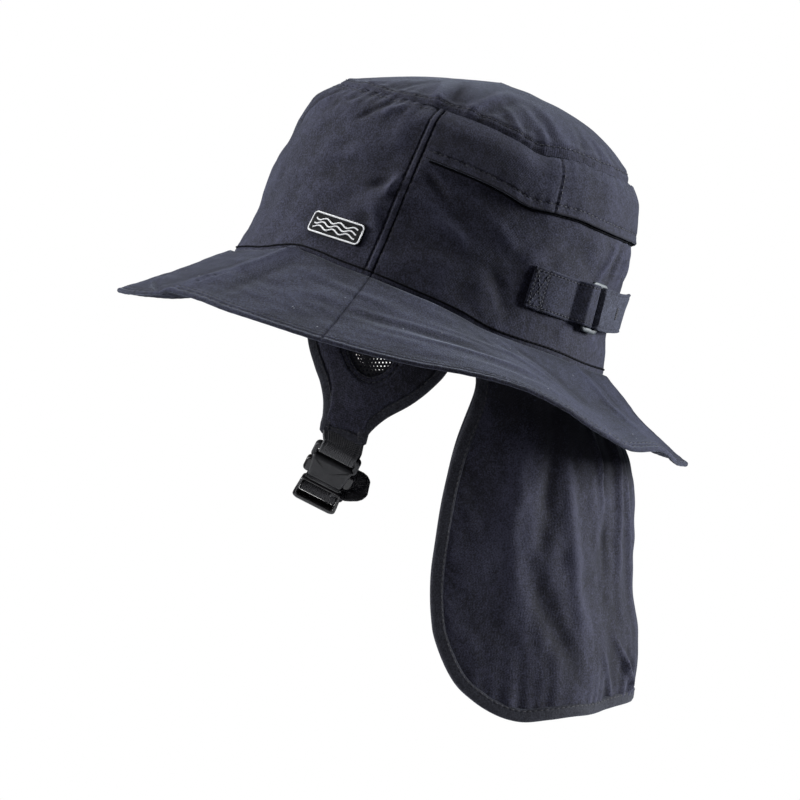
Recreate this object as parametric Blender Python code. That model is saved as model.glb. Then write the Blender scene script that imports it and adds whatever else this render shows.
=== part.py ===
"""A surf hat of soft cloth, worn tilted back: a crown with an overhanging yoke, an all-round brim,
two padded ear flaps that a chin strap and buckle join, and a long bound neck flap.

The hat's own frame has its front at -Y, the wearer's left at +X and the head opening's centre at
the origin. The hat leans back about X in the world, and its flaps hang straight down from it."""

import bmesh
import bpy
import numpy as np
from mathutils import Matrix, Vector

# Sizes are in millimetres and degrees, and meshes are made in metres
MM = 0.001
TILT_BACK = 18.5

# Head opening and crown
HEAD_LENGTH = 203.0
HEAD_WIDTH = 169.0
OVAL_POWER = 2.25
OVAL_EGG = 0.05
CROWN_HEIGHT = 97.5
CROWN_BULGE = 8.0
TOP_LENGTH = 160.0
TOP_WIDTH = 132.0
TOP_SHIFT = 2.5
DOME_HEIGHT = 28.0
DOME_FRONT_FALL = 0.5
SEAM_WAVE = 10.0
TOP_WAVE = 5.0
SEAM_ROUNDING = 5.0
SIDE_SEAM_ANGLE = 76.2
FOOT_TUCK = 3.0
FOLD_DEPTH = 1.6
FOLD_REACH = 9.0

# Walls and clearances
CLOTH = 1.5
GAP = 0.3
LAYER_GAP = 0.45

# Yoke flap over the back of the crown
YOKE_ANGLE = 79.0
YOKE_FOOT = 0.70
YOKE_HEAD = 0.975
YOKE_CLOTH = 1.2
YOKE_LIFT = 0.9

# Brim
BRIM_LENGTH = 311.4
BRIM_WIDTH = 276.0
BRIM_SHIFT = 2.7
BRIM_DROP = 30.4
BRIM_WAVE = 10.0
BRIM_SAG = 0.35
BRIM_CLOTH = 1.8

# Label on the left of the crown's front
LABEL_ANGLE = 59.8
LABEL_CENTRE_HEIGHT = 25.2
LABEL_LENGTH = 31.0
LABEL_HEIGHT = 11.8
LABEL_CORNER = 2.2
LABEL_THICKNESS = 0.8

# Size adjuster at the back: a sewn tab, a slider and a strap
STRAP_WIDTH = 21.5
STRAP_THICKNESS = 1.3
STRAP_HEIGHT = 28.4
STRAP_BACK_RISE = 4.0
STRAP_STAND_OFF = 4.6
TAB_START_ANGLE = 116.4
TAB_THICKNESS = 1.4
SLIDER_ANGLE = 144.2
SLIDER_LENGTH = 14.4
SLIDER_HEIGHT = 26.0
SLIDER_THICKNESS = 2.0
SLIDER_BAR = 2.8
SLIDER_STAND_OFF = 2.4
SLIDER_CLEARANCE = 1.1

# Ear flaps, hanging inside the crown's foot
EAR_PADDING = 4.0
EAR_EDGE = 1.1
EAR_LEAN = 7.0
EAR_DROP = 60.0
EAR_REACH = 56.0
EAR_TUCK = 4.0
EAR_STEPS = 29
BINDING_WIDTH = 4.6
BINDING_CLOTH = 0.7
BINDING_PLAY = 0.7
WINDOW_CENTRE_Y = -25.0
WINDOW_CENTRE_Z = -14.0
WINDOW_WIDTH = 27.0
WINDOW_HEIGHT = 41.0
NET_THICKNESS = 0.8
NET_HOLES_ACROSS = 4
NET_HOLES_UP = 7
NET_HOLE_SHARE = 0.56

# Chin strap and side-release buckle
WEBBING_WIDTH = 20.0
WEBBING_THICKNESS = 1.2
BUCKLE_WIDTH = 28.0
BUCKLE_THICKNESS = 8.0
SOCKET_LENGTH = 20.5
PLUG_LENGTH = 13.5
BUCKLE_LEAN_FORWARD = 27.0
BUCKLE_LEAN_INWARD = 26.0
BUCKLE_BAR = 3.0
BUCKLE_SLOT = 3.4
TAIL_LENGTH = 24.0

# Neck flap, hanging round the back of the head
NECK_DROP = 203.8
NECK_WIDTH = 156.0
NECK_BACK = 108.6
NECK_CLOTH = 1.2
NECK_START_ANGLE = 105.0
NECK_TUCK = 7.0
NECK_FOLD = 2.6
NECK_EASE = 48.0
NECK_BINDING_WIDTH = 5.6


def table(columns, *rows):
    """Named columns of a short table, as one array for each name."""
    return dict(zip(columns.split(), np.array(rows, float).T))


# Waves of the three seams and edges round the hat, by angle from the front, as shares of a wave
ROUND = table(
    "angle  foot   top   brim",
    (0,    0.00,  0.05, -0.95),
    (12,   0.02,  0.03, -0.88),
    (24,   0.20,  0.00, -0.66),
    (36,   0.48,  0.00, -0.26),
    (43,   0.78,  0.00,  0.07),
    (49,   1.02,  0.00,  0.13),
    (57,   1.06,  0.05,  0.06),
    (66,   0.95,  0.15,  0.13),
    (76,   0.88,  0.22,  0.18),
    (84,   0.77,  0.08,  0.30),
    (91,   0.63, -0.08,  0.56),
    (99,   0.44, -0.45,  0.95),
    (108,  0.13, -1.04,  1.10),
    (118,  0.08, -0.62,  0.75),
    (128,  0.10, -0.33,  0.12),
    (136,  0.06, -0.43, -0.13),
    (147,  -0.03, -0.40, 0.26),
    (156,  -0.03, -0.35, -0.06),
    (168,  0.00, -0.25, -0.05),
    (180,  0.00, -0.15, -0.03),
)

# Outward bulge of the crown's front, side and back by height share, as shares of CROWN_BULGE
BULGE = table(
    "height front  side   back",
    (0.00,  0.00,  0.00,  0.00),
    (0.18,  0.06,  0.06, -0.12),
    (0.33,  0.41,  0.22,  0.10),
    (0.50,  0.79,  0.42,  0.50),
    (0.70,  1.00,  0.62,  0.70),
    (0.83,  1.05,  0.69,  0.70),
    (0.93,  0.84,  0.55,  0.52),
    (1.00,  0.00,  0.00,  0.00),
)

# Folds of the crown: both ends by angle and height share, with the depth as a share of FOLD_DEPTH
FOLDS = table(
    "angle_1 height_1 angle_2 height_2 depth reach",
    (28,     0.95,    6,      0.68,    -1.0,  1.0),
    (72,     0.48,    66,     0.30,     0.9,  0.8),
    (50,     0.55,    60,     0.42,    -0.6,  1.2),
    (88,     0.42,    112,    0.22,    -0.8,  1.2),
    (100,    0.30,    84,     0.10,     0.7,  1.0),
    (128,    0.56,    150,    0.46,    -0.9,  0.9),
    (-35,    0.90,    -12,    0.62,    -0.9,  1.0),
    (-60,    0.50,    -72,    0.25,     0.8,  1.1),
    (-95,    0.40,    -118,   0.24,    -0.8,  1.2),
    (-128,   0.56,    -150,   0.46,    -0.9,  0.9),
)

# Ear flap's outline, round from its front top: how far forward, as a share of EAR_REACH, and how
# far down from the crown's seam to EAR_DROP
EAR_OUTLINE = table(
    "forward down",
    (1.000, 0.000),
    (1.018, 0.277),
    (0.989, 0.516),
    (0.929, 0.650),
    (0.877, 0.738),
    (0.850, 0.835),
    (0.857, 0.929),
    (0.875, 1.005),
    (0.688, 1.044),
    (0.509, 1.084),
    (0.471, 1.018),
    (0.325, 0.924),
    (0.089, 0.816),
    (-0.098, 0.684),
    (-0.239, 0.526),
    (-0.330, 0.290),
    (-0.357, 0.000),
    (0.268, 0.000),
)

# Neck flap by drop share: its front edge as a share of NECK_BACK, and its back likewise
NECK_SIDE = table(
    "drop  edge    back",
    (0.00,  0.350, 0.870),
    (0.16,  0.330, 0.930),
    (0.265, 0.248, 0.968),
    (0.35,  0.188, 0.990),
    (0.45,  0.140, 1.000),
    (0.57,  0.103, 1.000),
    (0.64,  0.085, 1.000),
    (0.72,  0.082, 1.000),
    (0.80,  0.095, 1.024),
    (0.87,  0.105, 1.034),
    (1.00,  0.112, 1.000),
)

# Neck flap's hem: its drop share at each place from the centre back, 0, to the front edge, 1
NECK_HEM = table(
    "place  drop",
    (0.000, 0.970),
    (0.263, 0.976),
    (0.448, 0.998),
    (0.566, 1.000),
    (0.669, 1.004),
    (0.762, 1.006),
    (0.851, 0.982),
    (0.911, 0.948),
    (0.966, 0.893),
    (0.990, 0.838),
    (1.000, 0.795),
)

# Soft upright folds of the neck flap: place, width and depth as a share of NECK_FOLD
NECK_FOLDS = table(
    "place  width depth",
    (0.62,  0.14,  0.9),
    (0.36,  0.11, -1.0),
    (0.12,  0.10,  0.8),
    (-0.14, 0.10, -0.8),
    (-0.38, 0.12,  0.9),
    (-0.66, 0.13, -0.7),
)


def smooth(at, knots, values):
    """Values at some places of a smooth curve through the knots."""
    slopes = np.gradient(values, knots)
    i = np.clip(np.searchsorted(knots, at) - 1, 0, len(knots) - 2)
    span = knots[i + 1] - knots[i]
    t = np.clip((at - knots[i]) / span, -0.05, 1.05)
    rise = values[i] * (2 * t**3 - 3 * t**2 + 1) + values[i + 1] * (3 * t**2 - 2 * t**3)
    return rise + span * (slopes[i] * (t**3 - 2 * t**2 + t) + slopes[i + 1] * (t**3 - t**2))


def ease(t):
    """A smooth ramp from 0 to 1 as t goes from 0 to 1."""
    t = np.clip(t, 0, 1)
    return t * t * (3 - 2 * t)


def folded(angle):
    """Angles of both sides of the hat as degrees from the front, 0 to 180."""
    return np.abs((angle + 180.0) % 360.0 - 180.0)


def oval(angle, length, width):
    """Plan of the head's oval: narrower in front, with angle 0 at the front and 90 at +X."""
    turn = np.radians(angle)
    x = np.sign(np.sin(turn)) * np.abs(np.sin(turn)) ** (2 / OVAL_POWER)
    y = -np.sign(np.cos(turn)) * np.abs(np.cos(turn)) ** (2 / OVAL_POWER)
    return width / 2 * x * (1 + OVAL_EGG * y), length / 2 * y


def fold_depth(angle, share):
    """Outward push of the crown's folds, each a soft groove or ridge along a short line."""
    around = np.radians((angle + 180.0) % 360.0 - 180.0) * HEAD_WIDTH / 2
    above = share * CROWN_HEIGHT
    push = np.zeros(np.broadcast(around, above).shape)
    for a1, h1, a2, h2, depth, reach in zip(*FOLDS.values()):
        start = np.array([np.radians(a1) * HEAD_WIDTH / 2, h1 * CROWN_HEIGHT])
        run = np.array([np.radians(a2) * HEAD_WIDTH / 2, h2 * CROWN_HEIGHT]) - start
        t = np.clip(((around - start[0]) * run[0] + (above - start[1]) * run[1]) / (run @ run), 0, 1)
        away = np.hypot(around - start[0] - t * run[0], above - start[1] - t * run[1])
        push = push + depth * FOLD_DEPTH * np.exp(-((away / (reach * FOLD_REACH)) ** 2))
    return push


def crown_at(angle, share):
    """Outer face of the crown's wall: an oval that narrows as it rises, pushed out by its bulge."""
    side = folded(angle)
    above = np.maximum(share, 0)
    x, y = oval(angle, HEAD_LENGTH + (TOP_LENGTH - HEAD_LENGTH) * above,
                HEAD_WIDTH + (TOP_WIDTH - HEAD_WIDTH) * above)
    facing = np.cos(np.radians(side))
    bulge = smooth(share, BULGE["height"], BULGE["side"]) * (1 - facing**2)
    bulge = bulge + smooth(share, BULGE["height"], BULGE["front"]) * np.maximum(facing, 0) ** 2
    bulge = bulge + smooth(share, BULGE["height"], BULGE["back"]) * np.minimum(facing, 0) ** 2
    push = CROWN_BULGE * bulge + fold_depth(angle, share) * np.sin(np.pi * np.clip(share, 0, 1)) ** 0.5
    turn = np.radians(angle)
    foot = SEAM_WAVE * smooth(side, ROUND["angle"], ROUND["foot"])
    top = TOP_WAVE * smooth(side, ROUND["angle"], ROUND["top"])
    z = CROWN_HEIGHT * share + foot * (1 - share) + top * share
    return np.stack([x + push * np.sin(turn), y - push * np.cos(turn) + TOP_SHIFT * share, z], -1)


def dome_at(angle, share):
    """Crown's top: share 0 is its highest part's centre and 1 its seam, with a fall to the front."""
    side = folded(angle)
    x, y = oval(angle, TOP_LENGTH * share, TOP_WIDTH * share)
    rim = CROWN_HEIGHT + LAYER_GAP + TOP_WAVE * smooth(side, ROUND["angle"], ROUND["top"]) * share**2
    front = np.maximum(-y / (TOP_LENGTH / 2), 0) ** 0.8
    swell = np.maximum(1 - np.clip(share, 0, 1) ** 2.5, 0) ** 0.75
    z = rim + DOME_HEIGHT * swell * (1 - DOME_FRONT_FALL * front)
    return np.stack([x, y + TOP_SHIFT, z + 0 * share], -1)


def brim_at(angle, share):
    """Upper face of the brim: share 0 is its outer edge and 1 the crown's foot."""
    side = folded(angle)
    out = 1 - share
    x0, y0 = oval(angle, HEAD_LENGTH + 2 * LAYER_GAP, HEAD_WIDTH + 2 * LAYER_GAP)
    x1, y1 = oval(angle, BRIM_LENGTH, BRIM_WIDTH)
    foot = SEAM_WAVE * smooth(side, ROUND["angle"], ROUND["foot"])
    edge = BRIM_WAVE * smooth(side, ROUND["angle"], ROUND["brim"]) - BRIM_DROP
    sag = BRIM_SAG * (1 - np.cos(np.radians(side))) / 2
    fall = out + sag * out * (1 - out)
    y = y0 + (y1 + BRIM_SHIFT - y0) * out
    return np.stack([x0 + (x1 - x0) * out, y, foot + (edge - foot) * fall], -1)


def share_at(angle, height):
    """Height share of the crown's wall at a height above the head opening's plane."""
    side = folded(angle)
    foot = SEAM_WAVE * smooth(side, ROUND["angle"], ROUND["foot"])
    top = TOP_WAVE * smooth(side, ROUND["angle"], ROUND["top"])
    return (height - foot) / (CROWN_HEIGHT + top - foot)


def tilted(points):
    """Points of the hat's own frame, in the world."""
    turn = np.radians(-TILT_BACK)
    x, y, z = np.moveaxis(np.asarray(points, float), -1, 0)
    return np.stack([x, y * np.cos(turn) - z * np.sin(turn), y * np.sin(turn) + z * np.cos(turn)], -1)


def crown_inside(y, z, depth):
    """X of a hanging cloth that lies some depth inside the crown's foot, for world Y and Z."""
    turn = np.radians(TILT_BACK)
    hat_y = y * np.cos(turn) - z * np.sin(turn)
    hat_z = y * np.sin(turn) + z * np.cos(turn)
    share = (hat_z + np.hypot(hat_z, SEAM_ROUNDING)) / 2 / CROWN_HEIGHT
    length = HEAD_LENGTH + (TOP_LENGTH - HEAD_LENGTH) * share
    width = HEAD_WIDTH + (TOP_WIDTH - HEAD_WIDTH) * share
    along = np.clip((hat_y - TOP_SHIFT * share) / (length / 2), -1, 1)
    x = width / 2 * (1 - np.abs(along) ** OVAL_POWER) ** (1 / OVAL_POWER)
    return x * (1 + OVAL_EGG * along) - depth


def material(name, colour, roughness):
    """A plain material with one colour and roughness."""
    made = bpy.data.materials.new(name)
    made.use_nodes = True
    shader = made.node_tree.nodes["Principled BSDF"]
    shader.inputs["Base Color"].default_value = (*colour, 1.0)
    shader.inputs["Roughness"].default_value = roughness
    return made


def add_object(name, made_of, mesh, hat_frame=None):
    """A named object of a mesh, in the hat's own frame where its empty is given."""
    mesh.materials.append(made_of)
    mesh.shade_smooth()
    mesh.set_sharp_from_angle(angle=np.radians(50))
    made = bpy.data.objects.new(name, mesh)
    bpy.context.scene.collection.objects.link(made)
    made.parent = hat_frame
    return made


def mesh_of(name, points, faces, mirrored=False):
    """A mesh in metres from points in millimetres, turned over where it is mirrored in X."""
    points = np.asarray(points, float).reshape(-1, 3) * MM
    if mirrored:
        points = points * (-1, 1, 1)
        faces = [tuple(reversed(face)) for face in faces]
    mesh = bpy.data.meshes.new(name)
    mesh.from_pydata([tuple(p) for p in points], [], faces)
    mesh.validate()
    return mesh


def grid_faces(rows, columns, first=0, closed=False):
    """Quads of a grid of points, by index, wrapping round where the grid is closed."""
    last = rows if closed else rows - 1
    return [
        (first + i * columns + j,
         first + (i + 1) % rows * columns + j,
         first + (i + 1) % rows * columns + j + 1,
         first + i * columns + j + 1)
        for i in range(last)
        for j in range(columns - 1)
    ]


def surface_normals(place, u, v):
    """Unit normals of a surface, from small steps along both of its directions."""
    step = 0.02
    along_u = place(u + step, v) - place(u - step, v)
    along_v = place(u, v + 0.01 * step) - place(u, v - 0.01 * step)
    normal = np.cross(along_u, along_v)
    return normal / np.linalg.norm(normal, axis=-1, keepdims=True)


def cloth_mesh(name, place, us, vs, outer, inner, closed=False, capped=False, mirrored=False,
               upright=False):
    """A closed wall between two offsets from the surface place(u, v), each a number or an array.

    A closed wall wraps round in u. A capped one meets in a middle point at its first v. An
    upright one is offset along Z, and any other along the surface's own normals."""
    u, v = np.meshgrid(us, vs, indexing="ij")
    points = place(u, v)
    normals = np.broadcast_to((0.0, 0.0, 1.0), points.shape) if upright else surface_normals(place, u, v)
    faces_at = [points + np.asarray(side)[..., None] * normals for side in (outer, inner)]
    rows, columns = u.shape
    count = rows * columns
    faces = grid_faces(rows, columns, 0, closed)
    faces += [tuple(reversed(face)) for face in grid_faces(rows, columns, count, closed)]
    ends = range(rows if closed else rows - 1)
    middle = [side[:, 0].mean(axis=0) for side in faces_at]
    for i in ends:
        j = (i + 1) % rows
        low, next_low = i * columns, j * columns
        high, next_high = low + columns - 1, next_low + columns - 1
        faces.append((high, next_high, count + next_high, count + high))
        if capped:
            faces.append((2 * count, next_low, low))
            faces.append((2 * count + 1, count + low, count + next_low))
        else:
            faces.append((next_low, low, count + low, count + next_low))
    if not closed:
        last = (rows - 1) * columns
        for j in range(columns - 1):
            faces.append((j, j + 1, count + j + 1, count + j))
            faces.append((last + j + 1, last + j, count + last + j, count + last + j + 1))
    stacked = np.concatenate([side.reshape(-1, 3) for side in faces_at] + ([middle] if capped else []))
    return mesh_of(name, stacked, faces, mirrored)


def sweep_mesh(name, sections, closed=False, mirrored=False):
    """A closed solid skinned over like sections, one ring of points for each step of the path."""
    rows, columns = sections.shape[:2]
    ring = np.concatenate([sections, sections[:, :1]], axis=1)
    faces = []
    for i in range(rows if closed else rows - 1):
        for j in range(columns):
            k = (j + 1) % columns
            n = (i + 1) % rows
            faces.append((i * columns + j, i * columns + k, n * columns + k, n * columns + j))
    if not closed:
        faces.append(tuple(reversed(range(columns))))
        faces.append(tuple(range((rows - 1) * columns, rows * columns)))
    return mesh_of(name, ring[:, :-1], faces, mirrored)


def outward(mesh):
    """The mesh with its faces turned outwards."""
    work = bmesh.new()
    work.from_mesh(mesh)
    bmesh.ops.triangulate(work, faces=[face for face in work.faces if len(face.verts) > 4])
    bmesh.ops.recalc_face_normals(work, faces=work.faces)
    if work.calc_volume(signed=True) < 0:
        bmesh.ops.reverse_faces(work, faces=work.faces)
    work.to_mesh(mesh)
    work.free()
    return mesh


def ribbon_mesh(name, route, across, width, thickness, steps):
    """A flat strap along a smooth route of points, with its width direction at each point."""
    knots = np.arange(len(route), dtype=float)
    at = np.linspace(0, len(route) - 1, steps)
    path = np.stack([smooth(at, knots, column) for column in np.array(route, float).T], -1)
    side = np.stack([smooth(at, knots, column) for column in np.array(across, float).T], -1)
    along = np.gradient(path, axis=0)
    face = np.cross(along, side)
    face /= np.linalg.norm(face, axis=-1, keepdims=True)
    side = np.cross(face, along)
    side /= np.linalg.norm(side, axis=-1, keepdims=True)
    corners = ((-1, -1), (1, -1), (1, 1), (-1, 1))
    rings = [path + a * width / 2 * side + b * thickness / 2 * face for a, b in corners]
    return outward(sweep_mesh(name, np.stack(rings, axis=1)))


def binding_mesh(name, path, inward, normal, width, half_gap, closed=False, mirrored=False):
    """A folded edge binding: a channel that grips the cloth's edge along a path."""
    wall = half_gap + BINDING_CLOTH
    corners = (
        (-GAP - BINDING_CLOTH, wall), (width, wall), (width, half_gap), (-GAP, half_gap),
        (-GAP, -half_gap), (width, -half_gap), (width, -wall), (-GAP - BINDING_CLOTH, -wall),
    )
    rings = [path + a * inward + b * normal for a, b in corners]
    return outward(sweep_mesh(name, np.stack(rings, axis=1), closed, mirrored))


def crown_wall(name, made_of, hat_frame, first, last, columns):
    """One panel of the crown's wall, from the side seam round to the other side seam."""
    edge = np.degrees(GAP / HEAD_WIDTH)
    angles = np.linspace(first + edge, last - edge, columns)
    foot = -FOOT_TUCK / CROWN_HEIGHT
    heights = np.array([foot, 0.04, 0.18, 0.32, 0.45, 0.58, 0.70, 0.82, 0.92, 1.0])
    mesh = cloth_mesh(name, crown_at, angles, heights, 0.0, -CLOTH)
    return add_object(name, made_of, mesh, hat_frame)


def crown_top(made_of, hat_frame):
    """The puffed top, whose edge stands on the top of the crown's wall."""
    angles = np.arange(0, 360, 10.0)
    shares = np.array([0.2, 0.42, 0.6, 0.75, 0.87, 0.95, 1.0])
    mesh = cloth_mesh("crown_top", dome_at, angles, shares, -CLOTH, 0.0, closed=True, capped=True)
    return add_object("crown_top", made_of, outward(mesh), hat_frame)


def crown_yoke(made_of, hat_frame):
    """The outer layer over the back of the crown, whose foot stands a little away from it."""
    angles = np.linspace(YOKE_ANGLE, 360 - YOKE_ANGLE, 28)
    heights = np.linspace(YOKE_FOOT, YOKE_HEAD, 5)
    lift = LAYER_GAP + YOKE_LIFT * (YOKE_HEAD - heights) / (YOKE_HEAD - YOKE_FOOT) + 0 * angles[:, None]
    mesh = cloth_mesh("crown_yoke", crown_at, angles, heights, lift + YOKE_CLOTH, lift)
    return add_object("crown_yoke", made_of, mesh, hat_frame)


def brim_panel(name, made_of, hat_frame, first, last, columns):
    """One panel of the brim, whose inner edge fits round the crown's foot."""
    edge = np.degrees(GAP / HEAD_WIDTH)
    angles = np.linspace(first + edge, last - edge, columns)
    shares = np.array([0, 0.2, 0.45, 0.72, 1.0])
    slant = np.arctan2(2 * BRIM_DROP, BRIM_WIDTH - HEAD_WIDTH)
    mesh = cloth_mesh(name, brim_at, angles, shares, 0.0, -BRIM_CLOTH / np.cos(slant), upright=True)
    return add_object(name, made_of, mesh, hat_frame)


def patch_place(centre_angle, centre_height, length, height, corner):
    """A rounded oblong laid on the crown: u from -1 to 1 along it, and v from -1 to 1 up it."""
    def place(u, v):
        up = v * height / 2
        past = np.maximum(np.abs(up) - (height / 2 - corner), 0)
        half = length / 2 - corner + np.sqrt(np.maximum(corner**2 - past**2, 0))
        angle = centre_angle + np.degrees(u * half / (HEAD_WIDTH / 2)) / oval_stretch(centre_angle)
        return crown_at(angle, share_at(angle, centre_height + up))
    return place


def oval_stretch(angle):
    """How far one degree runs along the head's oval, as a share of the same on a round one."""
    ahead, behind = (np.array(oval(a, HEAD_LENGTH, HEAD_WIDTH)) for a in (angle + 1, angle - 1))
    return np.linalg.norm(ahead - behind) / (np.radians(2) * HEAD_WIDTH / 2)


def label(made_of, hat_frame):
    """The sewn label: a small rounded oblong on the left of the crown's front."""
    place = patch_place(LABEL_ANGLE, LABEL_CENTRE_HEIGHT, LABEL_LENGTH, LABEL_HEIGHT, LABEL_CORNER)
    corner = 1 - 2 * LABEL_CORNER / LABEL_HEIGHT
    ups = np.array([-1, -0.5 - corner / 2, -corner, corner, 0.5 + corner / 2, 1])
    across = np.linspace(-1, 1, 6)
    outer = LAYER_GAP + LABEL_THICKNESS
    mesh = cloth_mesh("label", place, across, ups, outer, LAYER_GAP)
    return add_object("label", made_of, mesh, hat_frame)


def strap_height(angle):
    """Height of the adjuster's strap above the head opening: it climbs towards the back."""
    climb = ease((folded(angle) - SLIDER_ANGLE) / (180 - SLIDER_ANGLE))
    return STRAP_HEIGHT + STRAP_BACK_RISE * climb


def strap_place(angle, across):
    """A band of the strap's width round the crown, across running from -1 to 1."""
    height = strap_height(angle) + across * STRAP_WIDTH / 2
    return crown_at(angle, share_at(angle, height))


def slider_degrees(length):
    """Degrees round the crown that a length takes up at the slider."""
    return np.degrees(length / (HEAD_WIDTH / 2)) / oval_stretch(SLIDER_ANGLE)


def adjuster_side(side, mirrored, cloth, plastic, hat_frame):
    """The sewn tab and the slider of one side of the adjuster."""
    bar = slider_degrees(SLIDER_LENGTH / 2)
    over = SLIDER_STAND_OFF + SLIDER_THICKNESS + SLIDER_CLEARANCE
    slot_start = SLIDER_ANGLE - bar + slider_degrees(SLIDER_BAR)
    ends = table(
        "angle lift",
        (TAB_START_ANGLE, LAYER_GAP),
        (SLIDER_ANGLE - 2.1 * bar, LAYER_GAP),
        (SLIDER_ANGLE - bar - slider_degrees(1.5), over),
        (slot_start + slider_degrees(1.6), over),
        (SLIDER_ANGLE - slider_degrees(2 * GAP), SLIDER_STAND_OFF),
    )
    angles = np.sort(np.concatenate([np.linspace(TAB_START_ANGLE, ends["angle"][1], 5), ends["angle"][2:],
                                     [np.mean(ends["angle"][1:3]), np.mean(ends["angle"][3:5])]]))
    lift = np.interp(angles, ends["angle"], ends["lift"])[:, None] + np.zeros(5)
    across = np.linspace(-1, 1, 5)
    mesh = cloth_mesh(f"adjuster_tab_{side}", strap_place, angles, across, lift + TAB_THICKNESS, lift,
                      mirrored=mirrored)
    add_object(f"adjuster_tab_{side}", cloth, mesh, hat_frame)
    slider(side, mirrored, plastic, hat_frame)


def slider(side, mirrored, plastic, hat_frame):
    """A plastic loop with one long slot, set flat against the crown at its own angle."""
    centre = strap_place(np.array(SLIDER_ANGLE), np.array(0.0))
    normal = surface_normals(strap_place, np.array(SLIDER_ANGLE), np.array(0.0))
    along = np.cross((0, 0, 1), normal)
    along /= np.linalg.norm(along)
    up = np.cross(normal, along)
    half, tall = SLIDER_LENGTH / 2, SLIDER_HEIGHT / 2
    slot_half, slot_tall = half - SLIDER_BAR, STRAP_WIDTH / 2 + 3 * GAP
    round_outer = oblong(half, tall, SLIDER_BAR * 0.6)
    round_inner = oblong(slot_half, slot_tall, SLIDER_BAR * 0.25)
    rings = []
    for depth, outline in ((0, round_outer), (SLIDER_THICKNESS, round_outer),
                           (SLIDER_THICKNESS, round_inner), (0, round_inner)):
        flat = outline[:, :1] * along + outline[:, 1:] * up
        rings.append(centre + flat + (SLIDER_STAND_OFF + depth) * normal)
    mesh = outward(sweep_mesh(f"slider_{side}", np.stack(rings, axis=1), closed=True, mirrored=mirrored))
    add_object(f"slider_{side}", plastic, mesh, hat_frame)


def oblong(half_length, half_height, corner, steps=4):
    """Outline of an oblong with rounded corners, as points in its own plane."""
    points = []
    for k, (sx, sy) in enumerate(((1, 1), (-1, 1), (-1, -1), (1, -1))):
        for turn in np.linspace(0, np.pi / 2, steps) + k * np.pi / 2:
            points.append((sx * (half_length - corner) + corner * np.cos(turn),
                           sy * (half_height - corner) + corner * np.sin(turn)))
    return np.array(points)


def rear_strap(made_of, hat_frame):
    """The strap round the back, from one slider's slot to the other's, standing off the crown."""
    bar = slider_degrees(SLIDER_LENGTH / 2)
    over = SLIDER_STAND_OFF + SLIDER_THICKNESS + SLIDER_CLEARANCE
    start = SLIDER_ANGLE + slider_degrees(2 * GAP)
    ends = table(
        "angle lift",
        (start, SLIDER_STAND_OFF),
        (SLIDER_ANGLE + bar - slider_degrees(SLIDER_BAR + 1.6), over),
        (SLIDER_ANGLE + bar + slider_degrees(1.5), over),
        (180, STRAP_STAND_OFF),
    )
    half = np.concatenate([ends["angle"][:3], [np.mean(ends["angle"][:2])], np.linspace(158, 180, 5)])
    half = np.sort(half)
    angles = np.concatenate([half, 360 - half[-2::-1]])
    lift = np.interp(folded(angles), ends["angle"], ends["lift"])[:, None] + np.zeros(5)
    across = np.linspace(-1, 1, 5)
    mesh = cloth_mesh("rear_strap", strap_place, angles, across, lift + STRAP_THICKNESS, lift)
    return add_object("rear_strap", made_of, mesh, hat_frame)


def seam_height(y):
    """World Z of the crown's foot seam at a world Y, along one side of the hat."""
    foot = tilted(crown_at(np.linspace(0.0, 180.0, 91), np.zeros(91)))
    return np.interp(y, foot[:, 1], foot[:, 2])


def ear_outline(at):
    """World Y and Z of the ear flap's outline, at some places along its closed curve."""
    count = len(EAR_OUTLINE["forward"])
    knots = np.arange(3 * count, dtype=float) - count
    y = -EAR_REACH * smooth(at, knots, np.tile(EAR_OUTLINE["forward"], 3))
    top = seam_height(y) + EAR_TUCK
    return y, top - (EAR_DROP + top) * smooth(at, knots, np.tile(EAR_OUTLINE["down"], 3))


def ear_cloth(y, z, depth):
    """A point of the ear flap's hanging surface, which leans inwards as it drops."""
    drop = np.maximum(-z / EAR_DROP, 0)
    return np.stack([crown_inside(y, z, depth + EAR_LEAN * drop**1.5), y, z], -1)


EAR_DEPTH = CLOTH + LAYER_GAP + EAR_PADDING / 2


def ear_place(u, v):
    """The padded ring of the ear flap: v is 0 on its outline and 1 on its window's edge."""
    y, z = ear_outline(u)
    turn = np.arctan2((z - WINDOW_CENTRE_Z) / WINDOW_HEIGHT, (y - WINDOW_CENTRE_Y) / WINDOW_WIDTH)
    window_y = WINDOW_CENTRE_Y + WINDOW_WIDTH / 2 * np.cos(turn)
    window_z = WINDOW_CENTRE_Z + WINDOW_HEIGHT / 2 * np.sin(turn)
    return ear_cloth(y + (window_y - y) * v, z + (window_z - z) * v, EAR_DEPTH)


def even_turns(count, steps):
    """Places along the ear flap's outline that face its window at even turns."""
    dense = np.linspace(0, count, 20 * count + 1)
    y, z = ear_outline(dense)
    turn = np.unwrap(np.arctan2((z - WINDOW_CENTRE_Z) / WINDOW_HEIGHT, (y - WINDOW_CENTRE_Y) / WINDOW_WIDTH))
    even = turn[0] + np.linspace(0, 2 * np.pi, steps, endpoint=False)
    return np.interp(even, turn, dense)


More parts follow.
